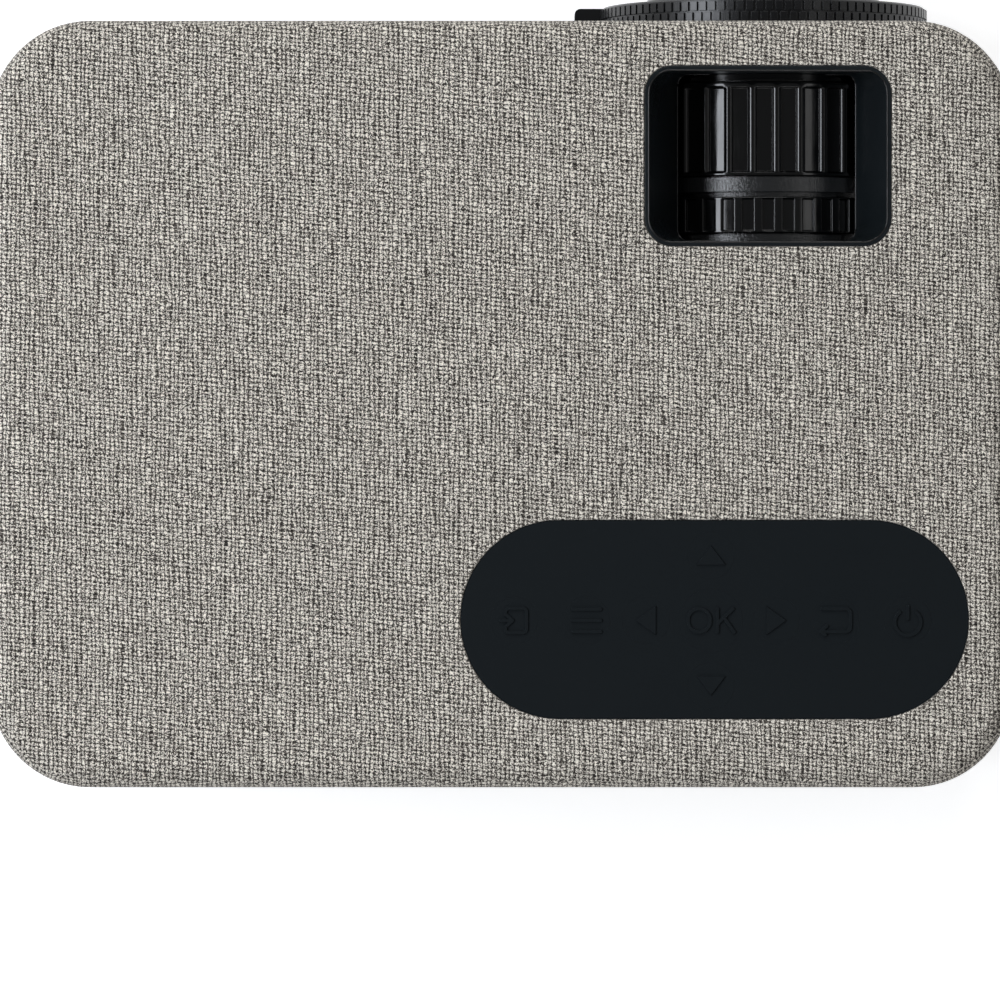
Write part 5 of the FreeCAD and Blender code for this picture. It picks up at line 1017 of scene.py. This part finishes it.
@dataclass
class LensUnit(Unit):
    """The lens, its wheels and the window they show through."""

    solids: tuple[str, ...] = ("lens_barrel", "front_lens", "front_lens_ring")
    # The inner lenses take the near-black glass, painted shade for the dark barrel behind the front lens.
    finishes: tuple[tuple[str, str], ...] = (
        ("lens_mount", "coarse_black"), ("lens_ring", "ring_black"), ("focus_ring_clip", "gloss_black"),
        ("inner_lenses", "deep_glass"))
    wheels: tuple[RibbedWheel, ...] = (
        RibbedWheel("focus_ring", "focus_wheel", 36, 2.1, 0.9, math.radians(1.48), 0.7, 1.2),
        RibbedWheel("keystone_ring", "keystone_wheel", 44, 1.93, 0.7, 0.0, 0.3, 0.3, squareness=8.0))
    window_rounding_mm: float = 0.3
    bead_mm: float = 0.17
    sloping: Pair = (0.05, 0.9)
    rim_within_mm: float = 0.01
    throat_within_mm: float = 0.02

    def build(self, shop: Workshop) -> None:
        """Dresses the solids and makes the wheels and the window's polished edges.

        Args:
            shop: Where the materials come from.
        """
        super().build(shop)
        for node, finish in self.finishes:
            shop.dress(node, finish)
        shop.dress("control_window", "window_black", self.window_rounding_mm)
        for wheel in self.wheels:
            wheel.build(shop)
        for name, loop in self.window_edges().items():
            shop.add(name, tube(name, loop, self.bead_mm * MM), "root", "gloss_black")

    def window_edges(self) -> dict[str, list[Vector]]:
        """Follows the two edges of the window's sloping wall: round the rim, and round the throat.

        Returns:
            Each edge's points, in order round it.
        """
        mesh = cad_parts["control_window"].data
        axis = sum(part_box("focus_ring"), Vector()) / 2
        middle = sum(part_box("control_window"), Vector()) / 2
        slope = {tuple(round(c, 7) for c in mesh.vertices[i].co) for face in mesh.polygons
                 if self.sloping[0] < face.normal.z < self.sloping[1]
                 and face.normal.xy.dot((middle - face.center).xy) > 0 for i in face.vertices}
        top = max(z for _, _, z in slope) - self.rim_within_mm * MM
        way = min(math.hypot(v.co.x - axis.x, v.co.z - axis.z) for v in mesh.vertices) + self.throat_within_mm * MM
        edges = {"window_rim_bead": [p for p in slope if p[2] > top],
                 "window_throat_bead": [p for p in slope if math.hypot(p[0] - axis.x, p[2] - axis.z) < way]}
        return {name: [Vector(p) for p in sorted(points, key=lambda p: math.atan2(p[1] - middle.y,
                                                                                  p[0] - middle.x))]
                for name, points in edges.items()}


@dataclass
class LightEngine(Unit):
    """The lamp, the panel and the glass between them, with the fan beside."""

    solids: tuple[str, ...] = ("engine_housing", "condenser_lens", "heat_glass", "fresnel_lenses", "lcd_frame",
                               "lcd_panel", "lamp_heatsink", "led_lamp", "fan_frame", "fan_rotor")


@dataclass
class DiscDrive(Unit):
    """The disc drive with its tray, rails, motors and pick-up."""

    solids: tuple[str, ...] = ("drive_chassis", "drive_lid", "slide_rails", "disc_tray", "tray_bezel",
                               "eject_button", "drive_motors", "spindle_hub", "pickup_sled", "guide_rods",
                               "lead_screw")


@dataclass
class Electronics(Unit):
    """The boards, sockets, inlet and speakers."""

    solids: tuple[str, ...] = ("main_board", "signal_sockets", "power_board", "power_inlet", "speakers")


@dataclass(frozen=True)
class Softbox:
    """A softbox aimed at the case: its direction from the case, distance, size, brightness and colour."""

    name: str
    direction: tuple[float, float, float]
    distance: float
    size: Pair
    radiance: float
    colour: str = "#ffffff"

    def hang(self, middle: Vector) -> None:
        """Hangs the softbox.

        Args:
            middle: What it is aimed at.
        """
        light = bpy.data.lights.new(self.name, "AREA")
        light.shape, light.size, light.size_y = "RECTANGLE", self.size[0], self.size[1]
        light.energy = self.radiance * math.pi * self.size[0] * self.size[1]
        light.color = linear(self.colour)[:3]
        lamp = bpy.data.objects.new(self.name, light)
        lamp.location = middle + Vector(self.direction).normalized() * self.distance
        lamp.rotation_euler = (middle - lamp.location).to_track_quat("-Z", "Y").to_euler()
        bpy.context.scene.collection.objects.link(lamp)


@dataclass
class Studio:
    """The pale floor and wall, the softboxes and the camera over the lid."""

    camera_height: float = 1.6
    view_angle: float = math.radians(8.18)
    sensor_mm: float = 36.0
    aim: Pair = (-0.0003, -0.0274)
    lit_height: float = 0.08
    floor_radius: float = 4.0
    floor_sides: int = 96
    wall_height: float = 3.0
    paper: Finish = Powdery("matt_white_paper", "#e4e4e4", 0.95, paler="#ebebeb", grain_mm=2.5, specular=0.0,
                            glow=0.6)
    sky: float = 0.16
    boxes: tuple[Softbox, ...] = (
        Softbox("key_softbox", (-0.86, 0.0, 0.873), 1.2255, (0.85, 0.53), 8.5, "#f2f7ff"),
        Softbox("right_strip", (0.77, 0.0, 1.0), 1.5, (1.5, 0.2), 1.1),
        Softbox("front_softbox", (-0.2, 1.8, 1.0), 1.6, (1.2, 0.7), 4.5),
        Softbox("rear_softbox", (0.1, -1.8, 1.0), 1.7, (1.2, 0.6), 2.4),
    )

    def build(self) -> None:
        """Sets up floor, softboxes, sky and camera."""
        self.floor()
        for box in self.boxes:
            box.hang(Vector((0.0, 0.0, self.lit_height)))
        world = bpy.data.worlds.new("sky")
        world.use_nodes = True
        bpy.context.scene.world = world
        feed(world.node_tree.nodes["Background"], {"Color": linear("#ffffff"), "Strength": self.sky})
        self.camera()
        bpy.context.scene.view_settings.view_transform = "Standard"

    def floor(self) -> None:
        """Lays the round floor and its wall."""
        angles = [2 * math.pi * i / self.floor_sides for i in range(self.floor_sides)]
        corners = [(math.cos(a) * self.floor_radius, math.sin(a) * self.floor_radius, z)
                   for z in (0.0, self.wall_height) for a in angles]
        wall = [face[:1] + face[:0:-1] for face in bands(2, self.floor_sides, closed=False)]
        mesh = shape("floor", corners, [list(range(self.floor_sides))] + wall)
        mesh.materials.append(self.paper.build())
        floor = bpy.data.objects.new("floor", mesh)
        bpy.context.scene.collection.objects.link(floor)

    def camera(self) -> None:
        """Puts the camera straight above the case."""
        data = bpy.data.cameras.new("camera")
        data.sensor_width = self.sensor_mm
        data.lens = self.sensor_mm / 2 / math.tan(self.view_angle / 2)
        camera = bpy.data.objects.new("camera", data)
        camera.location = (self.aim[0], self.aim[1], self.camera_height)
        bpy.context.scene.collection.objects.link(camera)
        bpy.context.scene.camera = camera


def main() -> None:
    """Builds the looks in order."""
    logging.basicConfig(level=logging.INFO, format="%(name)s: %(message)s")
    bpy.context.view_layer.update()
    shop = Workshop()
    for unit in (Case(), Keypad(), LensUnit(), LightEngine(), DiscDrive(), Electronics()):
        unit.build(shop)
        log.info("finished %s", type(unit).__name__)
    Studio().build()


if __name__ == "__main__":
    main()
